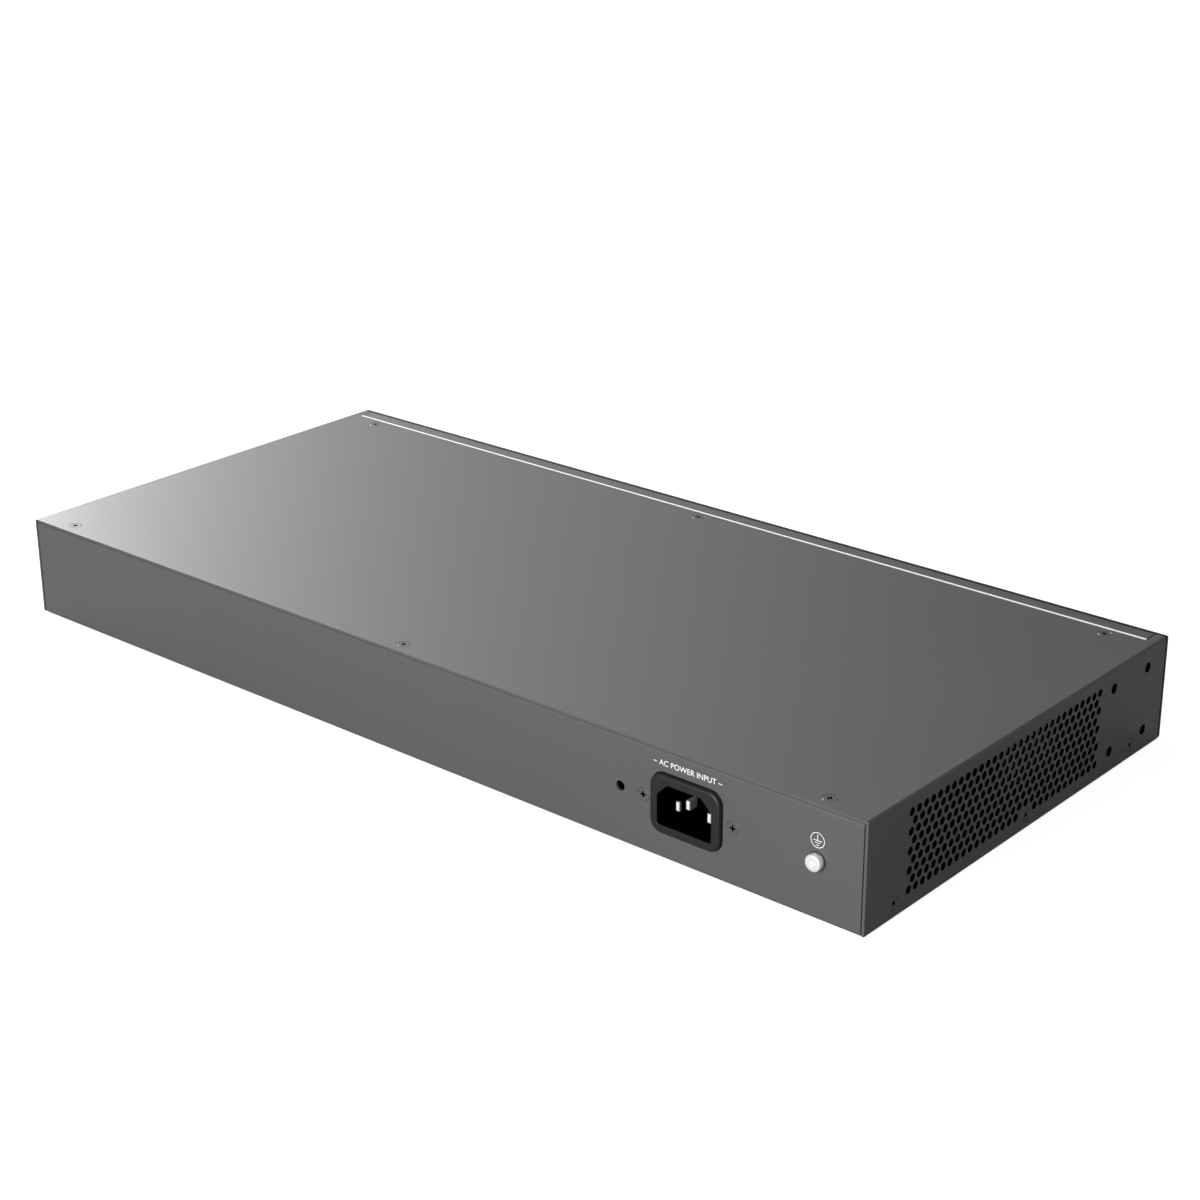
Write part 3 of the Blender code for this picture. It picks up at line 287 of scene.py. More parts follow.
def moulded_plastic(name, colour, roughness=0.42, grain=2600.0, shade_recesses=False):
    """Moulded plastic with a spark-eroded grain, with painted shade that darkens it in a recess."""
    look = Look(name, colour, roughness)
    grain_height = look.noise(grain, 3.0, 0.6)
    sheen = look.noise(90.0, 2.0, 0.5)
    tone = look.shades(sheen, 0.10)
    # Where asked, painted shade darkens the plastic and takes its gloss away in recesses.
    look.feed("Base Color", look.sunk(tone) if shade_recesses else tone)
    look.vary(grain_height * 0.5 + sheen * 0.5, 0.07)
    return look.bump(grain_height, 0.22, 0.04 * MM).material


def plated_metal(
    name, colour, roughness=0.28, grain=(60.0, 60.0, 60.0), tone=0.08, metallic=1.0, shade_recesses=False
):
    """Plated or drawn metal, its fine grain stretched along one axis."""
    look = Look(name, colour, roughness, metallic)
    grain_lines = look.noise(40.0, 3.0, 0.6, grain)
    tarnish = look.noise(160.0, 3.0, 0.6)
    plating = look.shades(tarnish * 0.6 + grain_lines * 0.4, tone)
    # Painted shade: the plating turns near-black where the recess shade mark is set.
    if shade_recesses:
        plating = look.mix(look.attribute(RECESS_SHADE), plating, IN_SHADE)
    look.feed("Base Color", plating)
    look.vary(grain_lines * 0.6 + tarnish * 0.4, 0.10)
    return look.bump(grain_lines, 0.10, 0.02 * MM).material


def circuit_board(name, colour):
    """Solder mask over copper: stepped bands of traces, with a lattice of small vias."""
    look = Look(name, colour, 0.38)
    lanes = look.node("ShaderNodeTexWave", {"wave_type": "BANDS", "bands_direction": "DIAGONAL"})
    look.set(lanes.inputs["Vector"], look.place)
    look.set(lanes.inputs["Scale"], 260.0)
    look.set(lanes.inputs["Distortion"], 0.0)
    patches = look.cells(42.0) > 0.42
    traces = (Num(look, lanes.outputs["Fac"]) > 0.62) * patches
    vias = look.cells(420.0) < 0.16
    copper = tuple(min(1.0, c * 2.1 + 0.01) for c in colour)
    mask = look.mix(traces * 0.75, tuple(colour), copper)
    look.feed("Base Color", look.mix(vias * 0.8, mask, (0.55, 0.50, 0.32)))
    look.vary(patches, 0.05)
    return look.bump(traces + vias, 0.25, 0.03 * MM).material


def wound_tape(name, colour, pitch=900.0):
    """Turns wound one above the other; pitch is their number in a metre."""
    look = Look(name, colour, 0.35, Coat_Weight=0.2)
    along = look.height() * pitch
    turns = along.math("FRACT", along)
    edges = turns.rise(0.86, 1.0)
    stain = look.noise(220.0, 3.0, 0.6)
    look.feed("Base Color", look.shades(stain, 0.14))
    return look.vary(stain, 0.06).bump(1 - edges, 0.3, 0.1 * MM).material


def grainy(name, colour, roughness, grain, spread, wander, relief=None, **constants):
    """Plain stuff with a grain: the noise's scale, detail and roughness, and the dents it makes."""
    look = Look(name, colour, roughness, **constants)
    noise = look.noise(*grain)
    look.feed("Base Color", look.shades(noise, spread)).vary(noise, wander)
    if relief:
        look.bump(noise, *relief)
    return look.material


def printed_ink(name, colour):
    """Screen-printed ink, a little thin in places."""
    return grainy(name, colour, 0.55, (2400.0, 3.0, 0.6), 0.10, 0.08)


def chip_package(name, colour):
    """Moulded chip package with a fine matte grain."""
    return grainy(name, colour, 0.55, (3200.0, 2.0, 0.6), 0.2, 0.08, (0.2, 0.03 * MM))


def ferrite_core(name, colour):
    """Sintered ferrite with a coarse dark grain."""
    return grainy(name, colour, 0.62, (1400.0, 4.0, 0.65), 0.3, 0.08, (0.35, 0.08 * MM))


def light_pipe(name, colour):
    """Clear acrylic that carries light to the front."""
    grain = (300.0, 2.0, 0.5)
    return grainy(name, colour, 0.12, grain, 0.05, 0.04, Transmission_Weight=0.65, IOR=1.49)


def wire_jacket(name, colour, stripe=None):
    """Insulated wire; the earth lead carries a second colour along it."""
    look = Look(name, colour, 0.42)
    soft = look.noise(700.0, 2.0, 0.5)
    tone = look.shades(soft, 0.1)
    if stripe:
        bands = look.noise(260.0, 0.0, 0.5, (0.25, 0.25, 6.0))
        tone = look.mix(bands > 0.5, tone, stripe)
    look.feed("Base Color", tone)
    return look.vary(soft, 0.06).bump(soft, 0.1, 0.03 * MM).material


# ---- drawing ---------------------------------------------------------------------------------
SIDES = {
    "rear": (Vector((-1, 0, 0)), Vector((0, 0, 1))),
    "front": (Vector((1, 0, 0)), Vector((0, 0, 1))),
    "left": (Vector((0, -1, 0)), Vector((0, 0, 1))),
    "right": (Vector((0, 1, 0)), Vector((0, 0, 1))),
    "top": (Vector((1, 0, 0)), Vector((0, 1, 0))),
    "bottom": (Vector((1, 0, 0)), Vector((0, -1, 0))),
}


def facing(side, origin):
    """Turns a piece drawn flat, its outer side up, to face one side of the case."""
    across, up = SIDES[side]
    turn = Matrix((across, up, across.cross(up))).transposed().to_4x4()
    return Matrix.Translation(Vector(origin)) @ turn


def circle(u, v, radius, sides=32):
    angles = [2 * math.pi * (k + 0.5) / sides for k in range(sides)]
    return [(u + radius * math.cos(a), v + radius * math.sin(a)) for a in angles]


def rectangle(u0, v0, u1, v1):
    return [(u0, v0), (u1, v0), (u1, v1), (u0, v1)]


def rounded(u, v, width, height, radius, steps=6):
    """Rectangle with round corners, about (u, v)."""
    du, dv = width / 2 - radius, height / 2 - radius
    points = []
    for turn, (a, b) in enumerate(((du, dv), (-du, dv), (-du, -dv), (du, -dv))):
        for k in range(steps + 1):
            angle = math.radians(90 * (turn + k / steps))
            points.append((u + a + radius * math.cos(angle), v + b + radius * math.sin(angle)))
    return points


def ring(bm, outline, height=0.0):
    """Closed loop of edges at one height."""
    verts = [bm.verts.new((u, v, height)) for u, v in outline]
    return [bm.edges.new((a, b)) for a, b in zip(verts, verts[1:] + verts[:1])]


def bridge(bm, first, second):
    bmesh.ops.bridge_loops(bm, edges=first + second)


def fill(bm, *rings):
    """Flat face inside the first ring and round the others."""
    edges = [edge for one in rings for edge in one]
    return bmesh.ops.triangle_fill(bm, use_beauty=True, use_dissolve=False, edges=edges)["geom"]


def plate(bm, outline, holes, thickness):
    """Sheet with holes, its outer face at zero height and its inner face below."""
    fill(bm, ring(bm, outline), *[ring(bm, hole) for hole in holes])
    grown = bmesh.ops.extrude_face_region(bm, geom=bm.faces[:])["geom"]
    lower = [item for item in grown if isinstance(item, bmesh.types.BMVert)]
    bmesh.ops.translate(bm, verts=lower, vec=(0, 0, -thickness))
    bmesh.ops.recalc_face_normals(bm, faces=bm.faces[:])


def skirt(bm, top, stations, sides):
    """Closes a round solid under its top ring, through stations of (radius, height)."""
    last = top
    for radius, height in stations:
        following = ring(bm, circle(0, 0, radius, sides), height)
        bridge(bm, last, following)
        last = following
    fill(bm, last)


def pocketed(outer, mouths, pocket, back):
    """Block seen from its front: a face with pockets sunk to one depth, and a plain back."""
    bm = bmesh.new()
    rim, rims = ring(bm, outer), [ring(bm, mouth) for mouth in mouths]
    fill(bm, rim, *rims)
    for edges, depth in [(one, pocket) for one in rims] + [(rim, back)]:
        grown = bmesh.ops.extrude_edge_only(bm, edges=edges)["geom"]
        verts = [item for item in grown if isinstance(item, bmesh.types.BMVert)]
        bmesh.ops.translate(bm, verts=verts, vec=(0, 0, -depth))
        fill(bm, [item for item in grown if isinstance(item, bmesh.types.BMEdge)])
    return bm


def recess_layer(bm):
    """Painted shade mark that the mesh carries at its corners: one deep in a recess, where shade is painted,
    nothing elsewhere.
    """
    return bm.verts.layers.float.new(RECESS_SHADE)


# Marks the corners of a loop for painted shade.
def darken(layer, loop):
    for edge in loop:
        for vert in edge.verts:
            vert[layer] = 1.0


def soften(bm, edges, offset, segments=2):
    bmesh.ops.bevel(
        bm, geom=edges, offset=offset, offset_type="OFFSET", segments=segments, profile=0.5,
        affect="EDGES", material=-1, clamp_overlap=True,
    )


def rim_edges(bm, keep=lambda middle: True):
    """Sharp edges of the outer face that pass a test on their middle."""
    found = []
    for edge in bm.edges:
        first, second = (vert.co for vert in edge.verts)
        level = max(abs(first.z), abs(second.z)) < SHARP
        if level and edge.calc_face_angle(0.0) > RIM_ANGLE and keep((first + second) / 2):
            found.append(edge)
    return found


def block(bm, low, high, bevel=0.0, segments=2, turn=None):
    """Box between two corners with softened edges."""
    low, high = Vector(low), Vector(high)
    size = high - low
    place = Matrix.Translation((low + high) / 2) @ (turn or Matrix()) @ Matrix.Diagonal((*size, 1.0))
    made = bmesh.ops.create_cube(bm, size=1.0, matrix=place)["verts"]
    if bevel:
        edges = list({edge for vert in made for edge in vert.link_edges})
        soften(bm, edges, bevel, segments)


def turned(bm, profile, steps=48):
    """Spins a profile of (radius, height) about the local Z axis."""
    verts = [bm.verts.new((radius, 0.0, height)) for radius, height in profile]
    edges = [bm.edges.new(pair) for pair in zip(verts, verts[1:])]
    if profile[0][0] > 0:
        edges.append(bm.edges.new((verts[-1], verts[0])))
    bmesh.ops.spin(
        bm, geom=verts + edges, cent=(0, 0, 0), axis=(0, 0, 1), angle=2 * math.pi, steps=steps, use_merge=True
    )
    bmesh.ops.remove_doubles(bm, verts=bm.verts[:], dist=1e-7)


def make(name, bm, look, body=CASE, replaces=(), place=Matrix(), smooth=32.0):
    """Turns a bmesh into a finished piece that rides on a body."""
    bm.transform(place)
    bmesh.ops.recalc_face_normals(bm, faces=bm.faces[:])
    mesh = bpy.data.meshes.new(name)
    bm.to_mesh(mesh)
    bm.free()
    mesh.materials.append(look)
    mesh.shade_smooth()
    mesh.set_sharp_from_angle(angle=math.radians(smooth))
    piece = bpy.data.objects.new(name, mesh)
    bpy.context.scene.collection.objects.link(piece)
    flats = piece.modifiers.new("level_flats", "WEIGHTED_NORMAL")
    flats.keep_sharp = True
    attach(piece, body)
    if replaces:
        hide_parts(*replaces)


class Fold:
    """Side view of a folded sheet: runs and bends, measured along its outer face."""

    def __init__(self, start, heading, moves):
        self.parts = []
        self.length = 0.0
        point, angle = Vector(start), math.radians(heading)
        for move in moves:
            if move[0] == "run":
                size, radius, turn = move[1], 0.0, 0.0
            else:
                radius, turn = move[2], math.radians(move[1])
                size = radius * abs(turn)
            self.parts.append((self.length, size, point.copy(), angle, radius, turn))
            point, angle = self.step(self.parts[-1], size, 0.0)
            self.length += size

    @staticmethod
    def step(part, distance, depth):
        """Point and heading at a distance into one part, at a depth behind the outer face."""
        _, size, start, angle, radius, turn = part
        ahead = Vector((math.cos(angle), math.sin(angle)))
        inward = Vector((-ahead.y, ahead.x))
        if turn == 0.0:
            return start + ahead * distance + inward * depth, angle
        share = distance / size if size else 1.0
        swept = turn * share
        centre = start + inward * radius
        reach = -inward * (radius - depth)
        spun = Vector((
            reach.x * math.cos(swept) - reach.y * math.sin(swept),
            reach.x * math.sin(swept) + reach.y * math.cos(swept),
        ))
        return centre + spun, angle + swept

    def at(self, distance, depth=0.0):
        part = next((p for p in reversed(self.parts) if distance >= p[0] - 1e-7), self.parts[0])
        return self.step(part, distance - part[0], depth)[0]

    def start_of(self, index):
        return self.parts[index][0]

    def cuts(self, steps=6, margin=0.4 * MM):
        """Distances where the flat blank is cut so that it can bend there."""
        found = []
        for begin, size, _, _, radius, turn in self.parts:
            if turn and radius < 0.05 * MM:
                found.append(begin)
            elif turn:
                found += [begin + size * k / steps for k in range(steps + 1)]
                found += [begin - margin, begin + size + margin]
        return sorted(found)


def cut_across(bm, normal, distances):
    """Cuts the blank by planes at distances along one direction."""
    for distance in distances:
        geometry = bm.verts[:] + bm.edges[:] + bm.faces[:]
        bmesh.ops.bisect_plane(bm, geom=geometry, dist=1e-7, plane_co=normal * distance, plane_no=normal)


def countersink(bm, centre, inner, outer):
    """Opens the outer rim of a hole into a cone."""
    middle = Vector((*centre, 0.0))
    for vert in bm.verts:
        if abs(vert.co.z) < 1e-7 and abs((vert.co - middle).length - inner) < 0.05 * MM:
            vert.co = middle + (vert.co - middle) * (outer / inner)


# ---- screws ------------------------------------------------------------------------------
HEAD_SIDES = 40
HEAD_EDGE = 0.15 * MM
HEAD_RIM = 0.2 * MM
SHANK = 1.4 * MM
CROSS_REACH = 1.2 * MM
CROSS_DEPTH = 0.9 * MM
CROSS_LIP = 0.08 * MM


def cross_outline(reach, arm, fillet=0.3):
    """Cross-shaped drive recess with its inner corners filled a little."""
    points = []
    for k in range(4):
        turn = Matrix.Rotation(math.pi / 2 * k, 2)
        corners = [(reach, -arm), (reach, arm), (arm * (1 + 2 * fillet), arm), (arm, arm * (1 + 2 * fillet))]
        points += [tuple(turn @ Vector(corner)) for corner in corners]
    return points


def screw_solid(bm, head, length):
    """Countersunk screw with a cross recess, its face at zero height."""
    layer = recess_layer(bm)
    cross = cross_outline(CROSS_REACH, CROSS_REACH * 0.30)
    top = ring(bm, circle(0, 0, head - HEAD_EDGE, HEAD_SIDES))
    mouth = ring(bm, cross)
    fill(bm, top, mouth)
    lip = ring(bm, cross, -CROSS_LIP)
    bridge(bm, mouth, lip)
    pit = ring(bm, [(u * 0.75, v * 0.80) for u, v in cross], -CROSS_DEPTH)
    bridge(bm, lip, pit)
    fill(bm, pit)
    # Painted shade: the lip and pit of the cross recess are marked to be painted dark.
    darken(layer, lip + pit)
    cone = head - SHANK + HEAD_RIM
    skirt(bm, top, [(head, -HEAD_EDGE), (head, -HEAD_RIM), (SHANK, -cone), (SHANK, -length)], HEAD_SIDES)


def make_screw(node, name, side, look, turn):
    low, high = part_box(node)
    across, up = SIDES[side]
    out = across.cross(up)
    length = abs((high - low).dot(out))
    radius = (high - low).dot(Vector(map(abs, across))) / 2
    bm = bmesh.new()
    screw_solid(bm, radius, length)
    bm.transform(Matrix.Rotation(turn, 4, "Z"))
    face = (low + high) / 2 + out * length / 2
    make(name, bm, look, replaces=(node,), place=facing(side, face))


# ---- case --------------------------------------------------------------------------------
HEAD_HOLE = 2.1 * MM
HEAD_MOUTH = 2.78 * MM
EAR_HOLE = 2.1 * MM
EAR_HOLES = [(y, z) for y in (-60.3 * MM, -85.9 * MM) for z in (9.1 * MM, 35.3 * MM)]
SCREW_CLEAR = 4.6 * MM  # vent holes stay this far from the middle screw
SHADE_FROM = 0.08 * MM  # depth in a hole below which its wall is painted dark as shade
BORDER = 0.2 * MM  # the outer edge of the cover is nearer than this
RETAINER_X, RETAINER_HOLE = -113.8 * MM, 2.0 * MM
GROUND_HOLE = 2.3 * MM
NUMBER_SIZE, NUMBER_OVER, NUMBER_UNDER = 1.9 * MM, 1.9 * MM, 2.4 * MM
LIGHT_SIZE = (3.0 * MM, 1.6 * MM)


def screw_places(prefix, axes):
    """Centres of the cover's screws, read from the frame, as pairs of coordinates."""
    places = []
    for node in sorted(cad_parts):
        if node.startswith(prefix):
            low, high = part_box(node)
            middle = (low + high) / 2
            places.append(tuple(middle[axis] for axis in axes))
    return places


def vent_places(settings):
    """Centres of the vent holes as (y, z), leaving out those under the middle screw."""
    low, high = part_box("side_screw_left_middle")
    screw = Vector(((low.y + high.y) / 2, (low.z + high.z) / 2))
    row_pitch = settings.vent_pitch * math.sqrt(3) / 2
    places = []
    for row in range(settings.vent_rows):
        shift = row % 2
        for column in range(settings.vent_columns - shift):
            y = settings.vent_rear - (column + shift / 2) * settings.vent_pitch
            z = settings.vent_top - row * row_pitch
            if (Vector((y, z)) - screw).length > SCREW_CLEAR:
                places.append((y, z))
    return places


def build_cover(settings, look):
    bend, sheet = settings.top_bend, settings.sheet
    side_run = TOP - bend - COVER_LOW.z
    top_run = 2 * (HALF_WIDTH - bend)
    moves = [("run", side_run), ("bend", 90, bend), ("run", top_run), ("bend", 90, bend), ("run", side_run)]
    fold = Fold((HALF_WIDTH, COVER_LOW.z), 90, moves)
    centre = fold.length / 2

    def on_side(side, y, z):
        distance = z - COVER_LOW.z
        return (distance if side > 0 else fold.length - distance, y)

    reach = settings.strip_half + 0.5 * MM
    front, seam = COVER_LOW.y, settings.seam_rear
    outline = [
        (0, front), (centre - reach, front), (centre - reach, seam), (centre + reach, seam),
        (centre + reach, front), (fold.length, front), (fold.length, REAR), (0, REAR),
    ]
    sinks = [(centre - x, y) for x, y in screw_places("top_screw", (0, 1))]
    sinks += [on_side(-1, y, z) for y, z in screw_places("side_screw_left", (1, 2))]
    sinks += [on_side(1, y, z) for y, z in screw_places("side_screw_right", (1, 2))]
    holes = [circle(u, v, HEAD_HOLE, 40) for u, v in sinks]
    for side in (-1, 1):
        holes += [circle(*on_side(side, y, z), EAR_HOLE, 32) for y, z in EAR_HOLES]
        holes += [circle(*on_side(side, y, z), settings.vent_radius, 14) for y, z in vent_places(settings)]
    bm = bmesh.new()
    plate(bm, outline, holes, sheet)
    for place in sinks:
        countersink(bm, place, HEAD_HOLE, HEAD_MOUTH)

    def border(middle):
        ends = min(middle.x, fold.length - middle.x) < BORDER
        sides = abs(middle.y - REAR) < BORDER or middle.y < seam + BORDER
        return ends or sides

    soften(bm, rim_edges(bm, border), 0.15 * MM, 2)
    # Painted shade: the inside of the sheet and the walls of the vent and screw holes, below SHADE_FROM, are
    # marked dark; the outer border keeps its coat.
    layer = recess_layer(bm)
    cut_across(bm, Vector((0, 0, 1)), [-SHADE_FROM])
    for vert in bm.verts:
        if vert.co.z < -SHADE_FROM * 0.75 and not border(vert.co):
            vert[layer] = 1.0
    cut_across(bm, Vector((1, 0, 0)), fold.cuts())
    for vert in bm.verts:
        x, z = fold.at(vert.co.x, -vert.co.z)
        vert.co = Vector((x, vert.co.y, z))
    make("cover_sheet", bm, look, replaces=("top_cover",))


def build_base(settings, inlet, look):
    """Underside, front wall with its top strip, and rear wall, folded from one blank."""
    sheet, bend, crease = settings.sheet, settings.base_bend, 0.9 * MM
    half = BASE_HIGH.x - 0.25 * MM
    shelf = TOP - sheet - GAP
    front, front_flange, rear_flange = BASE_LOW.y, -79.0 * MM, 88.0 * MM
    step_up = Vector((0.6 * MM, sheet + GAP))
    slope = 90 - math.degrees(math.atan2(step_up.x, step_up.y))
    moves = [
        ("run", front_flange - settings.seam_front - step_up.x),
        ("bend", -slope, SHARP), ("run", step_up.length), ("bend", slope, SHARP),
        ("run", settings.seam_front - front - crease),
        ("bend", 90, crease), ("run", TOP - crease - bend),
        ("bend", 90, bend), ("run", REAR - front - 2 * bend),
        ("bend", 90, bend), ("run", shelf - bend - crease),
        ("bend", 90, crease), ("run", REAR - crease - rear_flange),
    ]
    fold = Fold((front_flange, shelf), 180, moves)
    front_start, bottom_start, rear_start = fold.start_of(6), fold.start_of(8), fold.start_of(10)
    side_start, side_end = bottom_start + 1.5 * MM, fold.start_of(9) - 1.5 * MM
    flap = 4.5 * MM

    def on_front(x, z):
        return (x, front_start + (TOP - 0.9 * MM - z))

    def on_rear(x, z):
        return (x, rear_start + z - bend)

    wall_top = front_start + 0.8 * MM
    neck, relief = half - bend, 0.6 * MM
    right = [
        (settings.strip_half, 0), (settings.strip_half, wall_top), (half, wall_top),
        (half, side_start - relief), (neck, side_start - relief), (neck, side_start),
        (half + flap, side_start), (half + flap, side_end),
        (neck, side_end), (neck, side_end + relief), (half, side_end + relief), (half, fold.length),
    ]
    outline = right + [(-x, v) for x, v in reversed(right)]
    low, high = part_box("inlet_housing")
    inlet_x, inlet_z = (low.x + high.x) / 2, (low.z + high.z) / 2
    width, height = inlet.bezel_width + 2 * GAP, inlet.bezel_height + 2 * GAP
    window = rounded(inlet_x, inlet_z, width, height, inlet.bezel_radius + GAP)
    holes = [[on_rear(*point) for point in window]]
    sinks = [on_rear(x, z) for x, z in screw_places("inlet_screw", (0, 2))]
    holes += [circle(u, v, HEAD_HOLE, 40) for u, v in sinks]
    ground = screw_places("ground_screw", (0, 2))[0]
    holes.append(circle(*on_rear(*ground), GROUND_HOLE, 24))
    holes.append(circle(*on_rear(RETAINER_X, inlet_z), RETAINER_HOLE, 40))
    holes += [[on_front(u, v) for u, v in outline] for outline in front_windows(0.4 * MM)]
    bm = bmesh.new()
    plate(bm, outline, holes, sheet)
    for place in sinks:
        countersink(bm, place, HEAD_HOLE, HEAD_MOUTH)

    def border(middle):
        return abs(abs(middle.x) - half) < NEAR or abs(middle.y - fold.start_of(3)) < NEAR

    soften(bm, rim_edges(bm, border), 0.12 * MM, 2)
    cut_across(bm, Vector((0, 1, 0)), fold.cuts())
    side_cuts = [half - bend + bend * math.pi / 2 * k / 6 for k in range(7)]
    cut_across(bm, Vector((1, 0, 0)), [cut for one in side_cuts for cut in (one, -one)])
    side_fold = Fold((half - bend, 0.0), 0, [("bend", 90, bend), ("run", 20 * MM)])
    for vert in bm.verts:
        across, along, depth = vert.co.x, vert.co.y, -vert.co.z
        y, z = fold.at(along, depth)
        x = across
        if abs(across) > half - bend and side_start - SHARP < along < side_end + SHARP:
            x, z = side_fold.at(abs(across) - (half - bend), depth)
            x = math.copysign(x, across)
        vert.co = Vector((x, y, z))
    make("base_sheet", bm, look, replaces=("base_chassis",))


def front_windows(margin):
    """Openings of the front wall, as outlines in (x, z)."""
    outlines = []
    for node in ("jack_shield_left", "jack_shield_right", "sfp_cage"):
        low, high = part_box(node)
        outlines.append(rectangle(low.x - margin, low.z - margin, high.x + margin, high.z + margin))
    low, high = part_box("mode_button")
    outlines.append(circle((low.x + high.x) / 2, (low.z + high.z) / 2, (high.x - low.x) / 2 + margin, 40))
    low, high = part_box("reset_button")
    outlines.append(circle((low.x + high.x) / 2, (low.z + high.z) / 2, 1.3 * MM, 32))
    for x, z in light_places():
        width, height = (size + 2 * margin for size in LIGHT_SIZE)
        outlines.append(rounded(x, z, width, height, 0.3 * MM, 3))
    return outlines


def light_places():
    """Centres of the lights in (x, z), spread along the front of each light pipe."""
    places = []
    for node, count in (("status_light_pipe", 2), ("sfp_light_pipe", 4)):
        low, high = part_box(node)
        first, last = low.x + LIGHT_SIZE[0] / 2, high.x - LIGHT_SIZE[0] / 2
        z = high.z - LIGHT_SIZE[1] / 2
        places += [(first + (last - first) * k / (count - 1), z) for k in range(count)]
    return places


def build_fascia(settings, look, ink):
    low, high = FASCIA_LOW, FASCIA_HIGH
    middle = (low + high) / 2
    outline = rounded(middle.x, middle.z, high.x - low.x, high.z - low.z, 0.8 * MM, 4)
    bm = bmesh.new()
    plate(bm, outline, front_windows(0.5 * MM), high.y - low.y)
    soften(bm, rim_edges(bm), 0.2 * MM, 2)
    place = facing("front", (0, low.y, 0))
    make("fascia_plate", bm, look, replaces=("front_fascia",), place=place)

    marks = bmesh.new()
    number = 1
    for name in ("left", "right"):
        shield_low, shield_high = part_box(f"jack_shield_{name}")
        for x in port_columns(settings, name):
            add_text(marks, str(number), NUMBER_SIZE, (x, shield_high.z + NUMBER_OVER))
            add_text(marks, str(number + 1), NUMBER_SIZE, (x, shield_low.z - NUMBER_UNDER))
            number += 2
    cage_low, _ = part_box("sfp_cage")
    for x in fibre_columns(settings):
        add_text(marks, str(number), NUMBER_SIZE, (x, cage_low.z - NUMBER_UNDER))
        number += 1
    place = facing("front", (0, low.y - PRINT / 2, 0))
    make("port_numbers", marks, ink, place=place, smooth=1.0)


def add_text(bm, words, size, centre):
    """Adds printed lettering, centred on a point, its underside at zero height."""
    curve = bpy.data.curves.new("lettering", "FONT")
    curve.body = words
    curve.size = size * 1.35
    curve.align_x = "CENTER"
    curve.align_y = "CENTER"
    curve.resolution_u = 4
    curve.extrude = PRINT / 2
    holder = bpy.data.objects.new("lettering", curve)
    mesh = bpy.data.meshes.new_from_object(holder)
    mesh.transform(Matrix.Translation((*centre, PRINT / 2)))
    bm.from_mesh(mesh)
    bpy.data.objects.remove(holder)
    bpy.data.curves.remove(curve)
    bpy.data.meshes.remove(mesh)


# ---- rear: inlet, ground screw and printed marks -----------------------------------------------
CAVITY_CORNER = 0.7 * MM
CAVITY_FLOOR = -15.0 * MM
RIM_FILLET = 0.9 * MM
FLANGE_FACE, FLANGE_BACK = -1.3 * MM, -4.3 * MM
BLADE_CHAMFER = 0.55 * MM
GROUND_SIDES = 48
STEM_RADIUS = 1.9 * MM


def cavity_outline(settings, grow=0.0, steps=3):
    """Plug opening, both upper corners cut off, all corners slightly round."""
    u, v = settings.cavity_width / 2 + grow, settings.cavity_height / 2 + grow
    cut = settings.cavity_chamfer + grow * 0.6
    corners = [(u, -v), (u, v - cut), (u - cut, v), (cut - u, v), (-u, v - cut), (-u, -v)]
    radius = CAVITY_CORNER + grow
    points = []
    for k, corner in enumerate(corners):
        here = Vector(corner)
        before = (Vector(corners[k - 1]) - here).normalized()
        after = (Vector(corners[(k + 1) % len(corners)]) - here).normalized()
        start, end = here + before * radius, here + after * radius
        for step in range(steps + 1):
            share = step / steps
            points.append(tuple(start.lerp(here, share).lerp(here.lerp(end, share), share)))
    return points


def build_inlet(settings, finishes):
    low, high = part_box("inlet_housing")
    proud = high.y - REAR
    width, height, radius = settings.bezel_width, settings.bezel_height, settings.bezel_radius
    bm = bmesh.new()
    layer = recess_layer(bm)
    floor = ring(bm, cavity_outline(settings, -0.15 * MM), CAVITY_FLOOR)
    throat = ring(bm, cavity_outline(settings), proud - 0.45 * MM)
    lip = ring(bm, cavity_outline(settings, 0.1 * MM), proud - 0.12 * MM)
    mouth = ring(bm, cavity_outline(settings, 0.25 * MM), proud)
    # Painted shade: the floor, throat and lip of the plug opening are marked dark.
    darken(layer, floor + throat + lip)
    bridge(bm, floor, throat)
    bridge(bm, throat, lip)
    bridge(bm, lip, mouth)
    fill(bm, floor)
    sections = []
    for degrees in (0.0, 22.5, 45.0, 67.5, 90.0):
        angle = math.radians(degrees)
        inset = RIM_FILLET * (1 - math.sin(angle))
        outline = rounded(0, 0, width - 2 * inset, height - 2 * inset, radius - inset)
        sections.append((outline, proud - RIM_FILLET * (1 - math.cos(angle))))
    flange = rounded(0, 0, high.x - low.x, high.z - low.z, 4.0 * MM)
    body = rounded(0, 0, 28.5 * MM, 21.0 * MM, 2.0 * MM)
    sections.append((rounded(0, 0, width, height, radius), FLANGE_FACE))
    sections += [(flange, FLANGE_FACE), (flange, FLANGE_BACK), (body, FLANGE_BACK), (body, low.y - REAR)]
    rings = [ring(bm, outline, z) for outline, z in sections]
    for first, second in zip(rings, rings[1:]):
        bridge(bm, first, second)
    fill(bm, mouth, rings[0])
    fill(bm, rings[-1])
    place = facing("rear", ((low.x + high.x) / 2, REAR, (low.z + high.z) / 2))
    make("inlet_body", bm, finishes["plastic"], replaces=("inlet_housing",), place=place)
    for name in ("line", "neutral", "earth"):
        build_blade(name, finishes["contact"])


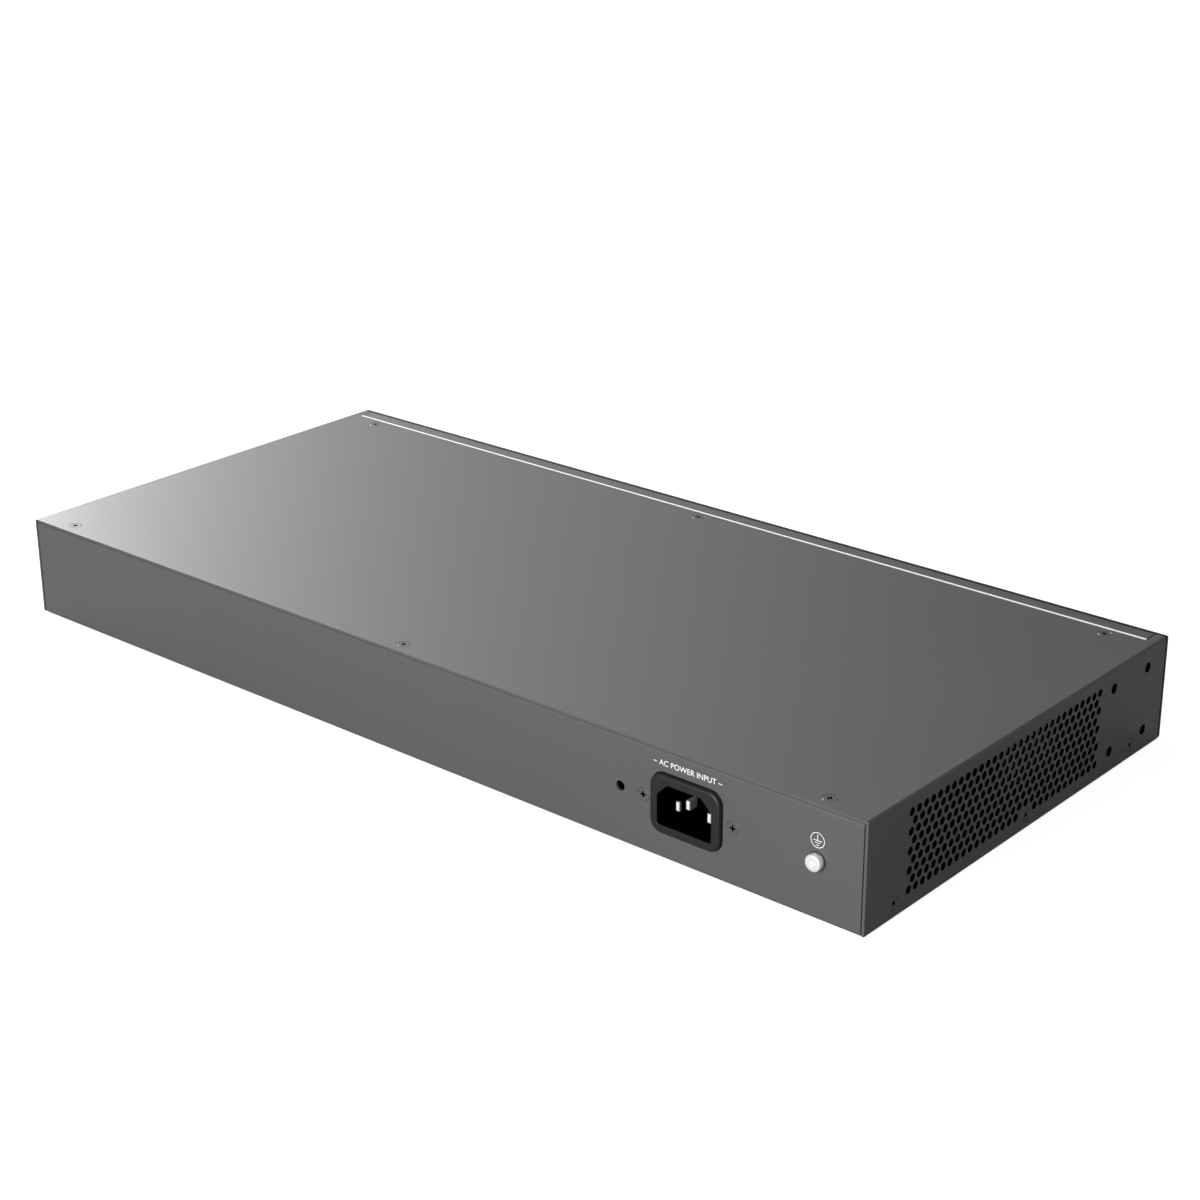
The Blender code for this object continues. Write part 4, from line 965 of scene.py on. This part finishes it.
def build_blade(name, look):
    """Contact blade with a chamfered tip, with painted shade that deepens away from the tip."""
    node = f"inlet_pin_{name}"
    low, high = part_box(node)
    bm = bmesh.new()
    layer = recess_layer(bm)
    block(bm, low, high, BLADE_CHAMFER, 2)
    # Painted shade: behind the tip the sides are marked dark, fully dark beyond a millimetre.
    for vert in bm.verts:
        behind = high.y - vert.co.y
        if behind > 0.05 * MM:
            vert[layer] = 0.8 if behind < 1.0 * MM else 1.0
    make(f"blade_{name}", bm, look, replaces=(node,))


def build_ground(finishes):
    low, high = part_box("ground_screw")
    washer_low, washer_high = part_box("ground_washer")
    place = facing("rear", ((low.x + high.x) / 2, REAR, (low.z + high.z) / 2))
    proud, radius = high.y - REAR, (high.x - low.x) / 2
    bottom, top = washer_low.y - REAR, washer_high.y - REAR
    bm = bmesh.new()
    cross = cross_outline(1.45 * MM, 0.42 * MM)
    mouth = ring(bm, cross, proud)
    pit = ring(bm, [(u * 0.6, v * 0.6) for u, v in cross], proud - 1.1 * MM)
    bridge(bm, mouth, pit)
    fill(bm, pit)
    crown = ring(bm, circle(0, 0, radius - 0.7 * MM, GROUND_SIDES), proud)
    fill(bm, crown, mouth)
    rounding = [(0.28 * MM, 0.12 * MM), (0.08 * MM, 0.34 * MM), (0.0, 0.7 * MM)]
    stations = [(radius - inward, proud - down) for inward, down in rounding]
    seat = top + 0.05 * MM
    stations += [(radius, seat), (STEM_RADIUS, seat), (STEM_RADIUS, low.y - REAR)]
    skirt(bm, crown, stations, GROUND_SIDES)
    make("earth_screw", bm, finishes["nickel"], replaces=("ground_screw",), place=place)

    washer = bmesh.new()
    outer, edge = (washer_high.x - washer_low.x) / 2, 0.12 * MM
    turned(washer, [
        (GROUND_HOLE, bottom), (outer - edge, bottom), (outer, bottom + edge), (outer, top - edge),
        (outer - edge, top), (GROUND_HOLE, top),
    ])
    make("earth_washer", washer, finishes["washer"], replaces=("ground_washer",), place=place)


def build_rear_marks(settings, look):
    low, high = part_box("inlet_housing")
    marks = bmesh.new()
    place = facing("rear", (0, REAR + PRINT / 2, 0))
    inlet_x, inlet_z = (low.x + high.x) / 2, (low.z + high.z) / 2
    add_text(marks, settings.label, 2.27 * MM, (-inlet_x, inlet_z + 15.2 * MM))
    ground_x, ground_z = screw_places("ground_screw", (0, 2))[0]
    add_earth_symbol(marks, (-ground_x, ground_z + 7.7 * MM), 2.9 * MM)
    make("rear_marks", marks, look, place=place, smooth=1.0)


def add_flat(bm, outline, holes=()):
    """Adds a printed shape, its underside at zero height."""
    part = bmesh.new()
    plate(part, outline, holes, PRINT)
    part.transform(Matrix.Translation((0, 0, PRINT)))
    mesh = bpy.data.meshes.new("mark")
    part.to_mesh(mesh)
    part.free()
    bm.from_mesh(mesh)
    bpy.data.meshes.remove(mesh)


def add_earth_symbol(bm, centre, radius):
    """Protective earth pictogram: a stem and three bars inside a circle."""
    u, v = centre
    line = 0.24 * MM
    add_flat(bm, circle(u, v, radius, 48), [circle(u, v, radius - line, 48)])
    add_flat(bm, rectangle(u - line / 2, v, u + line / 2, v + radius * 0.72))
    for k, share in enumerate((0.62, 0.40, 0.18)):
        top = v - k * 0.30 * radius
        add_flat(bm, rectangle(u - radius * share, top - line, u + radius * share, top))


# ---- front: network ports, fibre ports, buttons and lights ---------------------------------------
PORT_MARGIN = 1.2 * MM
PORT_DEPTH = 14.0 * MM
LATCH_HEIGHT = 2.0 * MM
WIRE_PITCH = 1.02 * MM
WIRE_SIZE = Vector((0.38, 7.2, 0.30)) * MM
PORT_LIGHT = Vector((2.2, 0.3, 1.1)) * MM
CAGE_WALL = 0.5 * MM
CAGE_DEPTH = 44.0 * MM
CAGE_HALF = 6.95 * MM
SHIELD = 0.4 * MM


def port_columns(settings, name):
    low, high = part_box(f"jack_housing_{name}")
    first = (low.x + high.x) / 2 - settings.port_pitch * (settings.port_columns - 1) / 2
    return [first + settings.port_pitch * k for k in range(settings.port_columns)]


def fibre_columns(settings):
    low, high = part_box("sfp_cage")
    first = (low.x + high.x) / 2 - settings.fibre_pitch * (settings.fibre_ports - 1) / 2
    return [first + settings.fibre_pitch * k for k in range(settings.fibre_ports)]


def port_levels(settings, low, high, upper):
    """Direction of the latch, then the heights of its slot, the shoulder and the floor of a port."""
    sign = 1 if upper else -1
    edge = high.z - PORT_MARGIN if upper else low.z + PORT_MARGIN
    shoulder = edge - sign * LATCH_HEIGHT
    return sign, edge, shoulder, shoulder - sign * settings.port_height


def port_outline(settings, x, low, high, upper):
    """Network plug opening in (x, z), its latch slot away from the other row."""
    sign, edge, shoulder, floor = port_levels(settings, low, high, upper)
    half, step = settings.port_width / 2, edge - sign * 0.7 * MM
    right = [
        (half, floor), (half, shoulder), (3.1 * MM, shoulder), (3.1 * MM, step),
        (1.6 * MM, step), (1.6 * MM, edge),
    ]
    return [(x + u, z) for u, z in right] + [(x - u, z) for u, z in reversed(right)]


def build_jack(settings, name, finishes):
    node = f"jack_housing_{name}"
    low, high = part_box(node)
    mouths = []
    for x in port_columns(settings, name):
        mouths += [port_outline(settings, x, low, high, upper) for upper in (False, True)]
    bm = pocketed(rectangle(low.x, low.z, high.x, high.z), mouths, PORT_DEPTH, high.y - low.y)
    place = facing("front", (0, low.y, 0))
    make(f"jack_block_{name}", bm, finishes["plastic"], replaces=(node,), place=place)
    build_contacts(settings, name, low, high, finishes)


def build_contacts(settings, name, low, high, finishes):
    """Eight sprung wires in each port, and the two lights beside each latch slot."""
    wires, lights = bmesh.new(), bmesh.new()
    for x in port_columns(settings, name):
        for upper in (False, True):
            sign, edge, _, floor = port_levels(settings, low, high, upper)
            turn = Matrix.Rotation(math.radians(-sign * 24), 4, "X")
            for wire in range(8):
                centre = Vector((x + (wire - 3.5) * WIRE_PITCH, low.y + 8.0 * MM, floor + sign * 2.1 * MM))
                block(wires, centre - WIRE_SIZE / 2, centre + WIRE_SIZE / 2, turn=turn)
            for side in (-1, 1):
                centre = Vector((x + side * 5.05 * MM, low.y + 0.03 * MM, edge - sign * 1.05 * MM))
                block(lights, centre - PORT_LIGHT / 2, centre + PORT_LIGHT / 2, 0.1 * MM, 1)
    make(f"port_wires_{name}", wires, finishes["gold"])
    make(f"port_lights_{name}", lights, finishes["lens"])


def build_shield(name, look):
    """Tinned shield: roof, sides and back folded round a jack block."""
    node = f"jack_shield_{name}"
    low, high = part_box(node)
    bm = bmesh.new()
    walls = [((low.x, low.y, high.z - SHIELD), high)]
    for x in (low.x, high.x - SHIELD):
        walls.append(((x, low.y, low.z), (x + SHIELD, high.y, high.z - SHIELD)))
    walls.append(((low.x + SHIELD, high.y - SHIELD, low.z), (high.x - SHIELD, high.y, high.z - SHIELD)))
    for start, end in walls:
        block(bm, start, end, 0.08 * MM, 1)
    make(f"jack_shell_{name}", bm, look, replaces=(node,))


def build_cages(settings, finishes):
    """Fibre cages in one: outer walls, dividers, and spring fingers inside each mouth."""
    low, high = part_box("sfp_cage")
    columns = fibre_columns(settings)
    floor, roof = low.z + CAGE_WALL, high.z - CAGE_WALL
    mouths = [rectangle(x - CAGE_HALF, floor, x + CAGE_HALF, roof) for x in columns]
    bm = pocketed(rectangle(low.x, low.z, high.x, high.z), mouths, CAGE_DEPTH, high.y - low.y)
    place = facing("front", (0, low.y, 0))
    make("fibre_cages", bm, finishes["tin"], replaces=("sfp_cage",), place=place)

    springs = bmesh.new()
    turn = Matrix.Rotation(math.radians(9), 4, "X")
    for x in columns:
        for k in range(4):
            start = Vector((x + (3.2 * k - 5.7) * MM, low.y + 0.6 * MM, roof - 0.75 * MM))
            block(springs, start, start + Vector((1.8, 4.6, 0.2)) * MM, turn=turn)
    make("fibre_springs", springs, finishes["tin"])


def build_buttons(finishes):
    low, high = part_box("mode_button")
    radius, long = (high.x - low.x) / 2, high.y - low.y
    cap = long - 3.2 * MM
    fillet = 0.45 * MM
    profile = [(radius * 0.72 * k / 5, -0.28 * MM * (1 - (k / 5) ** 2)) for k in range(6)]
    for degrees in range(0, 91, 18):
        angle = math.radians(degrees)
        profile.append((radius - fillet * (1 - math.sin(angle)), -fillet * (1 - math.cos(angle))))
    profile += [(radius, -cap), (1.0 * MM, -cap), (1.0 * MM, -long), (0.0, -long)]
    build_button("mode", "mode_cap", profile, 48, finishes)

    low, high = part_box("reset_button")
    radius, long = (high.z - low.z) / 2, high.y - low.y
    edge = 0.25 * MM
    profile = [(0.0, 0.0), (radius - edge, 0.0), (radius, -edge), (radius, -long), (0.0, -long)]
    build_button("reset", "reset_pin", profile, 32, finishes)


def build_button(kind, name, profile, steps, finishes):
    """Turned button that rides on its own body, its face at the front of its box."""
    node = f"{kind}_button"
    low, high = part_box(node)
    place = facing("front", ((low.x + high.x) / 2, low.y, (low.z + high.z) / 2))
    bm = bmesh.new()
    turned(bm, profile, steps)
    make(name, bm, finishes["plastic"], f"{node}_body", (node,), place)


# ---- stage -------------------------------------------------------------------------------
def stage_floor(settings):
    bm = bmesh.new()
    bmesh.ops.create_grid(bm, x_segments=2, y_segments=2, size=settings.floor_size / 2)
    mesh = bpy.data.meshes.new("floor")
    bm.to_mesh(mesh)
    bm.free()
    floor = bpy.data.objects.new("floor", mesh)
    bpy.context.scene.collection.objects.link(floor)
    floor.location = (0, 0, -0.2 * MM)
    material = bpy.data.materials.new("pale_floor")
    material.use_nodes = True
    tree = material.node_tree
    tree.nodes.clear()
    output = tree.nodes.new("ShaderNodeOutputMaterial")
    chooser = tree.nodes.new("ShaderNodeMixShader")
    path = tree.nodes.new("ShaderNodeLightPath")
    dim = tree.nodes.new("ShaderNodeBsdfDiffuse")
    dim.inputs["Color"].default_value = (0.30, 0.30, 0.30, 1.0)
    pale = tree.nodes.new("ShaderNodeAddShader")
    lit = tree.nodes.new("ShaderNodeBsdfDiffuse")
    lit.inputs["Color"].default_value = (0.45, 0.45, 0.45, 1.0)
    glow = tree.nodes.new("ShaderNodeEmission")
    glow.inputs["Strength"].default_value = 0.80
    tree.links.new(lit.outputs[0], pale.inputs[0])
    tree.links.new(glow.outputs[0], pale.inputs[1])
    tree.links.new(path.outputs["Is Camera Ray"], chooser.inputs[0])
    tree.links.new(dim.outputs[0], chooser.inputs[1])
    tree.links.new(pale.outputs[0], chooser.inputs[2])
    tree.links.new(chooser.outputs[0], output.inputs["Surface"])
    mesh.materials.append(material)


def soft_light(name, place, target, size, power):
    data = bpy.data.lights.new(name, "AREA")
    data.shape = "RECTANGLE"
    data.size, data.size_y = size
    data.energy = power
    lamp = bpy.data.objects.new(name, data)
    lamp.location = place
    lamp.rotation_euler = (Vector(target) - Vector(place)).to_track_quat("-Z", "Y").to_euler()
    bpy.context.scene.collection.objects.link(lamp)


def stage_lights():
    soft_light("fill_rear", (-1.2, 2.6, 1.0), (0, 0.1, 0.02), (1.8, 1.2), 40.0)
    soft_light("key_rear", (-0.3, 2.6, 1.0), (0, 0.1, 0.02), (1.8, 1.2), 80.0)
    soft_light("sheen", (2.79, -0.75, 0.83), (0.1, 0.0, 0.02), (1.1, 0.9), 195.0)
    soft_light("sheen_side", (2.50, -1.44, 0.83), (0.1, 0.0, 0.02), (1.1, 0.9), 6.5)
    soft_light("sheen_fill", (1.84, -1.84, 1.50), (0.1, 0.0, 0.02), (1.1, 0.9), 5.0)
    world = bpy.data.worlds.new("studio")
    world.use_nodes = True
    sky = world.node_tree.nodes["Background"]
    sky.inputs["Color"].default_value = (1.0, 1.0, 1.0, 1.0)
    sky.inputs["Strength"].default_value = 0.07
    bpy.context.scene.world = world


def stage_camera(settings):
    data = bpy.data.cameras.new("camera")
    data.lens = settings.lens
    data.sensor_width = 36.0
    camera = bpy.data.objects.new("camera", data)
    azimuth, elevation = math.radians(settings.camera_azimuth), math.radians(settings.camera_elevation)
    back = Vector((
        math.sin(azimuth) * math.cos(elevation), -math.cos(azimuth) * math.cos(elevation), math.sin(elevation)
    ))
    camera.location = (settings.camera_x, settings.camera_y, settings.camera_z)
    level = (-back).to_track_quat("-Z", "Y")
    roll = Matrix.Rotation(math.radians(settings.camera_roll), 3, "Z").to_quaternion()
    camera.rotation_euler = (level @ roll).to_euler()
    bpy.context.scene.collection.objects.link(camera)
    bpy.context.scene.camera = camera
    bpy.context.scene.view_settings.view_transform = "Standard"


# ---- operators ---------------------------------------------------------------------------
class SWITCH_OT_case(bpy.types.Operator):
    """Builds the folded base and the perforated cover"""

    bl_idname = "switch.case"
    bl_label = "Case"

    def execute(self, context):
        case, inlet = context.scene.switch_case, context.scene.switch_inlet
        # The cover gets painted shade in its holes and on its inside.
        build_cover(case, powder_coat("cover_coat", tuple(case.coat), shade_recesses=True))
        build_base(case, inlet, powder_coat("base_coat", tuple(case.coat)))
        build_seam(case)
        return {"FINISHED"}


def build_seam(case):
    """Bright edge of the bare joggle, seen between the cover and the front strip; its near-white zinc is
    partly a painted highlight.
    """
    look = plated_metal("bare_zinc_painted_highlight", tuple(case.zinc), 0.5, (1.0, 20.0, 20.0), 0.04, 0.1)
    bm = bmesh.new()
    block(bm, (-case.strip_half, case.seam_front + 0.25 * MM, TOP - 0.9 * MM),
          (case.strip_half, case.seam_rear - 0.25 * MM, TOP - 0.05 * MM), 0.05 * MM, 1)
    make("seam_strip", bm, look)


class SWITCH_OT_screws(bpy.types.Operator):
    """Replaces the plain screws by ones with cross recesses"""

    bl_idname = "switch.screws"
    bl_label = "Screws"

    def execute(self, context):
        case = context.scene.switch_case
        # The screws get painted shade in their cross recesses.
        look = powder_coat("screw_coat", tuple(c * 0.95 for c in case.coat), shade_recesses=True)
        draws = random.Random(4)
        for node in sorted(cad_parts):
            turn = draws.uniform(0, math.pi / 2)
            if node.startswith("top_screw"):
                make_screw(node, node.replace("top", "cover"), "top", look, turn)
            elif node.startswith("side_screw"):
                side = "left" if "_left_" in node else "right"
                make_screw(node, node.replace("side", "flank"), side, look, turn)
            elif node.startswith("inlet_screw"):
                make_screw(node, node.replace("inlet", "rear"), "rear", look, 0.1)
        return {"FINISHED"}


class SWITCH_OT_rear(bpy.types.Operator):
    """Builds the mains inlet, the ground screw and the printed marks"""

    bl_idname = "switch.rear"
    bl_label = "Rear"

    def execute(self, context):
        inlet = context.scene.switch_inlet
        # Painted shade: the washer's colour is the screw's nickel darkened to less than a fifth.
        blades, washer = tuple(inlet.contact), tuple(0.18 * c for c in inlet.nickel)
        finishes = {
            # The inlet opening and the blades get painted shade in the cavity.
            "plastic": moulded_plastic("inlet_plastic", tuple(inlet.plastic), 0.50, shade_recesses=True),
            "contact": plated_metal("blade_plating", blades, 0.35, metallic=0.4, shade_recesses=True),
            "washer": plated_metal("washer_steel_painted_shade", washer, 0.45, metallic=0.8),
            "nickel": plated_metal("screw_nickel", tuple(inlet.nickel), 0.38, metallic=0.5),
        }
        build_inlet(inlet, finishes)
        build_ground(finishes)
        build_rear_marks(inlet, printed_ink("rear_ink", tuple(context.scene.switch_case.ink)))
        return {"FINISHED"}


class SWITCH_OT_front(bpy.types.Operator):
    """Builds the front plate, the ports, the buttons and the lights"""

    bl_idname = "switch.front"
    bl_label = "Front"

    def execute(self, context):
        front, case = context.scene.switch_front, context.scene.switch_case
        finishes = {
            "plastic": moulded_plastic("jack_plastic", (0.018, 0.018, 0.019), 0.38),
            "tin": plated_metal("tinned_steel", tuple(front.tin), 0.30, (1.0, 30.0, 30.0)),
            "gold": plated_metal("contact_gold", tuple(front.gold), 0.20),
            "lens": light_pipe("port_lens", (0.75, 0.85, 0.70)),
        }
        ink = printed_ink("front_ink", tuple(case.ink))
        build_fascia(front, powder_coat("fascia_coat", tuple(front.fascia)), ink)
        for name in ("left", "right"):
            build_jack(front, name, finishes)
            build_shield(name, finishes["tin"])
        build_cages(front, finishes)
        build_buttons(finishes)
        return {"FINISHED"}


class SWITCH_OT_inside(bpy.types.Operator):
    """Gives the boards, parts and leads inside their finishes"""

    bl_idname = "switch.inside"
    bl_label = "Inside"

    def execute(self, context):
        board = circuit_board("solder_mask", (0.012, 0.085, 0.035))
        chip = chip_package("chip_moulding", (0.022, 0.022, 0.024))
        alloy = plated_metal("extruded_alloy", (0.72, 0.72, 0.73), 0.38, (30.0, 1.0, 30.0))
        nickel = plated_metal("terminal_nickel", (0.80, 0.79, 0.76))
        white = moulded_plastic("header_plastic", (0.78, 0.76, 0.70), 0.45)
        looks = {
            "main_board": board,
            "power_board": board,
            "power_insulator": moulded_plastic("insulating_film", (0.10, 0.10, 0.10), 0.30),
            "switch_heatsink": alloy,
            "power_heatsink": alloy,
            "transformer_core": ferrite_core("ferrite", (0.045, 0.045, 0.05)),
            "transformer_winding": wound_tape("winding_tape", (0.75, 0.52, 0.06)),
            "mains_choke": wound_tape("choke_winding", (0.16, 0.05, 0.02), 1200.0),
            "mains_filter_capacitor": moulded_plastic("capacitor_shell", (0.70, 0.45, 0.05), 0.35),
            "bulk_capacitor": moulded_plastic("capacitor_sleeve", (0.02, 0.02, 0.03), 0.25),
            "earth_terminal": nickel,
            "ground_nut": nickel,
            "line_lead": wire_jacket("brown_jacket", (0.16, 0.06, 0.02)),
            "neutral_lead": wire_jacket("blue_jacket", (0.02, 0.09, 0.42)),
            "earth_lead": wire_jacket("earth_jacket", (0.12, 0.40, 0.05), (0.75, 0.65, 0.05)),
            "dc_lead_positive": wire_jacket("red_jacket", (0.50, 0.02, 0.02)),
            "dc_lead_negative": wire_jacket("black_jacket", (0.015, 0.015, 0.015)),
            "status_light_pipe": light_pipe("status_acrylic", (0.86, 0.90, 0.90)),
            "sfp_light_pipe": light_pipe("fibre_acrylic", (0.86, 0.90, 0.90)),
        }
        chips = ["switch_chip", "mode_switch", "reset_switch"]
        for name in chips + [f"phy_chip_{place}" for place in ("left", "centre", "right")]:
            looks[name] = chip
        for name in ("board_power_header", "mains_header", "power_output_header"):
            looks[name] = white
        for name, look in looks.items():
            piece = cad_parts[name]
            piece.data.materials.clear()
            piece.data.materials.append(look)
        return {"FINISHED"}


class SWITCH_OT_stage(bpy.types.Operator):
    """Sets the floor, the studio light and the camera"""

    bl_idname = "switch.stage"
    bl_label = "Stage"

    def execute(self, context):
        settings = context.scene.switch_stage
        stage_camera(settings)
        stage_floor(settings)
        stage_lights()
        return {"FINISHED"}


class SWITCH_PT_panel(bpy.types.Panel):
    """Lists the steps that build the switch"""

    bl_idname = "SWITCH_PT_panel"
    bl_label = "Rackmount switch"
    bl_space_type = "VIEW_3D"
    bl_region_type = "UI"
    bl_category = "Switch"

    def draw(self, context):
        for operator in OPERATORS:
            self.layout.operator(operator.bl_idname)
        for group in ("switch_case", "switch_inlet", "switch_front", "switch_stage"):
            settings = getattr(context.scene, group)
            for name in settings.__annotations__:
                self.layout.prop(settings, name)


OPERATORS = [
    SWITCH_OT_stage, SWITCH_OT_case, SWITCH_OT_screws, SWITCH_OT_rear, SWITCH_OT_front, SWITCH_OT_inside
]
GROUPS = {
    "switch_case": CaseSettings,
    "switch_inlet": InletSettings,
    "switch_front": FrontSettings,
    "switch_stage": StageSettings,
}


def register():
    for group in GROUPS.values():
        bpy.utils.register_class(group)
    for operator in OPERATORS:
        bpy.utils.register_class(operator)
    bpy.utils.register_class(SWITCH_PT_panel)
    for name, group in GROUPS.items():
        setattr(bpy.types.Scene, name, PointerProperty(type=group))


def unregister():
    for name in GROUPS:
        delattr(bpy.types.Scene, name)
    bpy.utils.unregister_class(SWITCH_PT_panel)
    for operator in reversed(OPERATORS):
        bpy.utils.unregister_class(operator)
    for group in reversed(GROUPS.values()):
        bpy.utils.unregister_class(group)


def main():
    register()
    bpy.ops.switch.stage()
    bpy.ops.switch.case()
    bpy.ops.switch.screws()
    bpy.ops.switch.rear()
    bpy.ops.switch.front()
    bpy.ops.switch.inside()


if __name__ == "__main__":
    main()
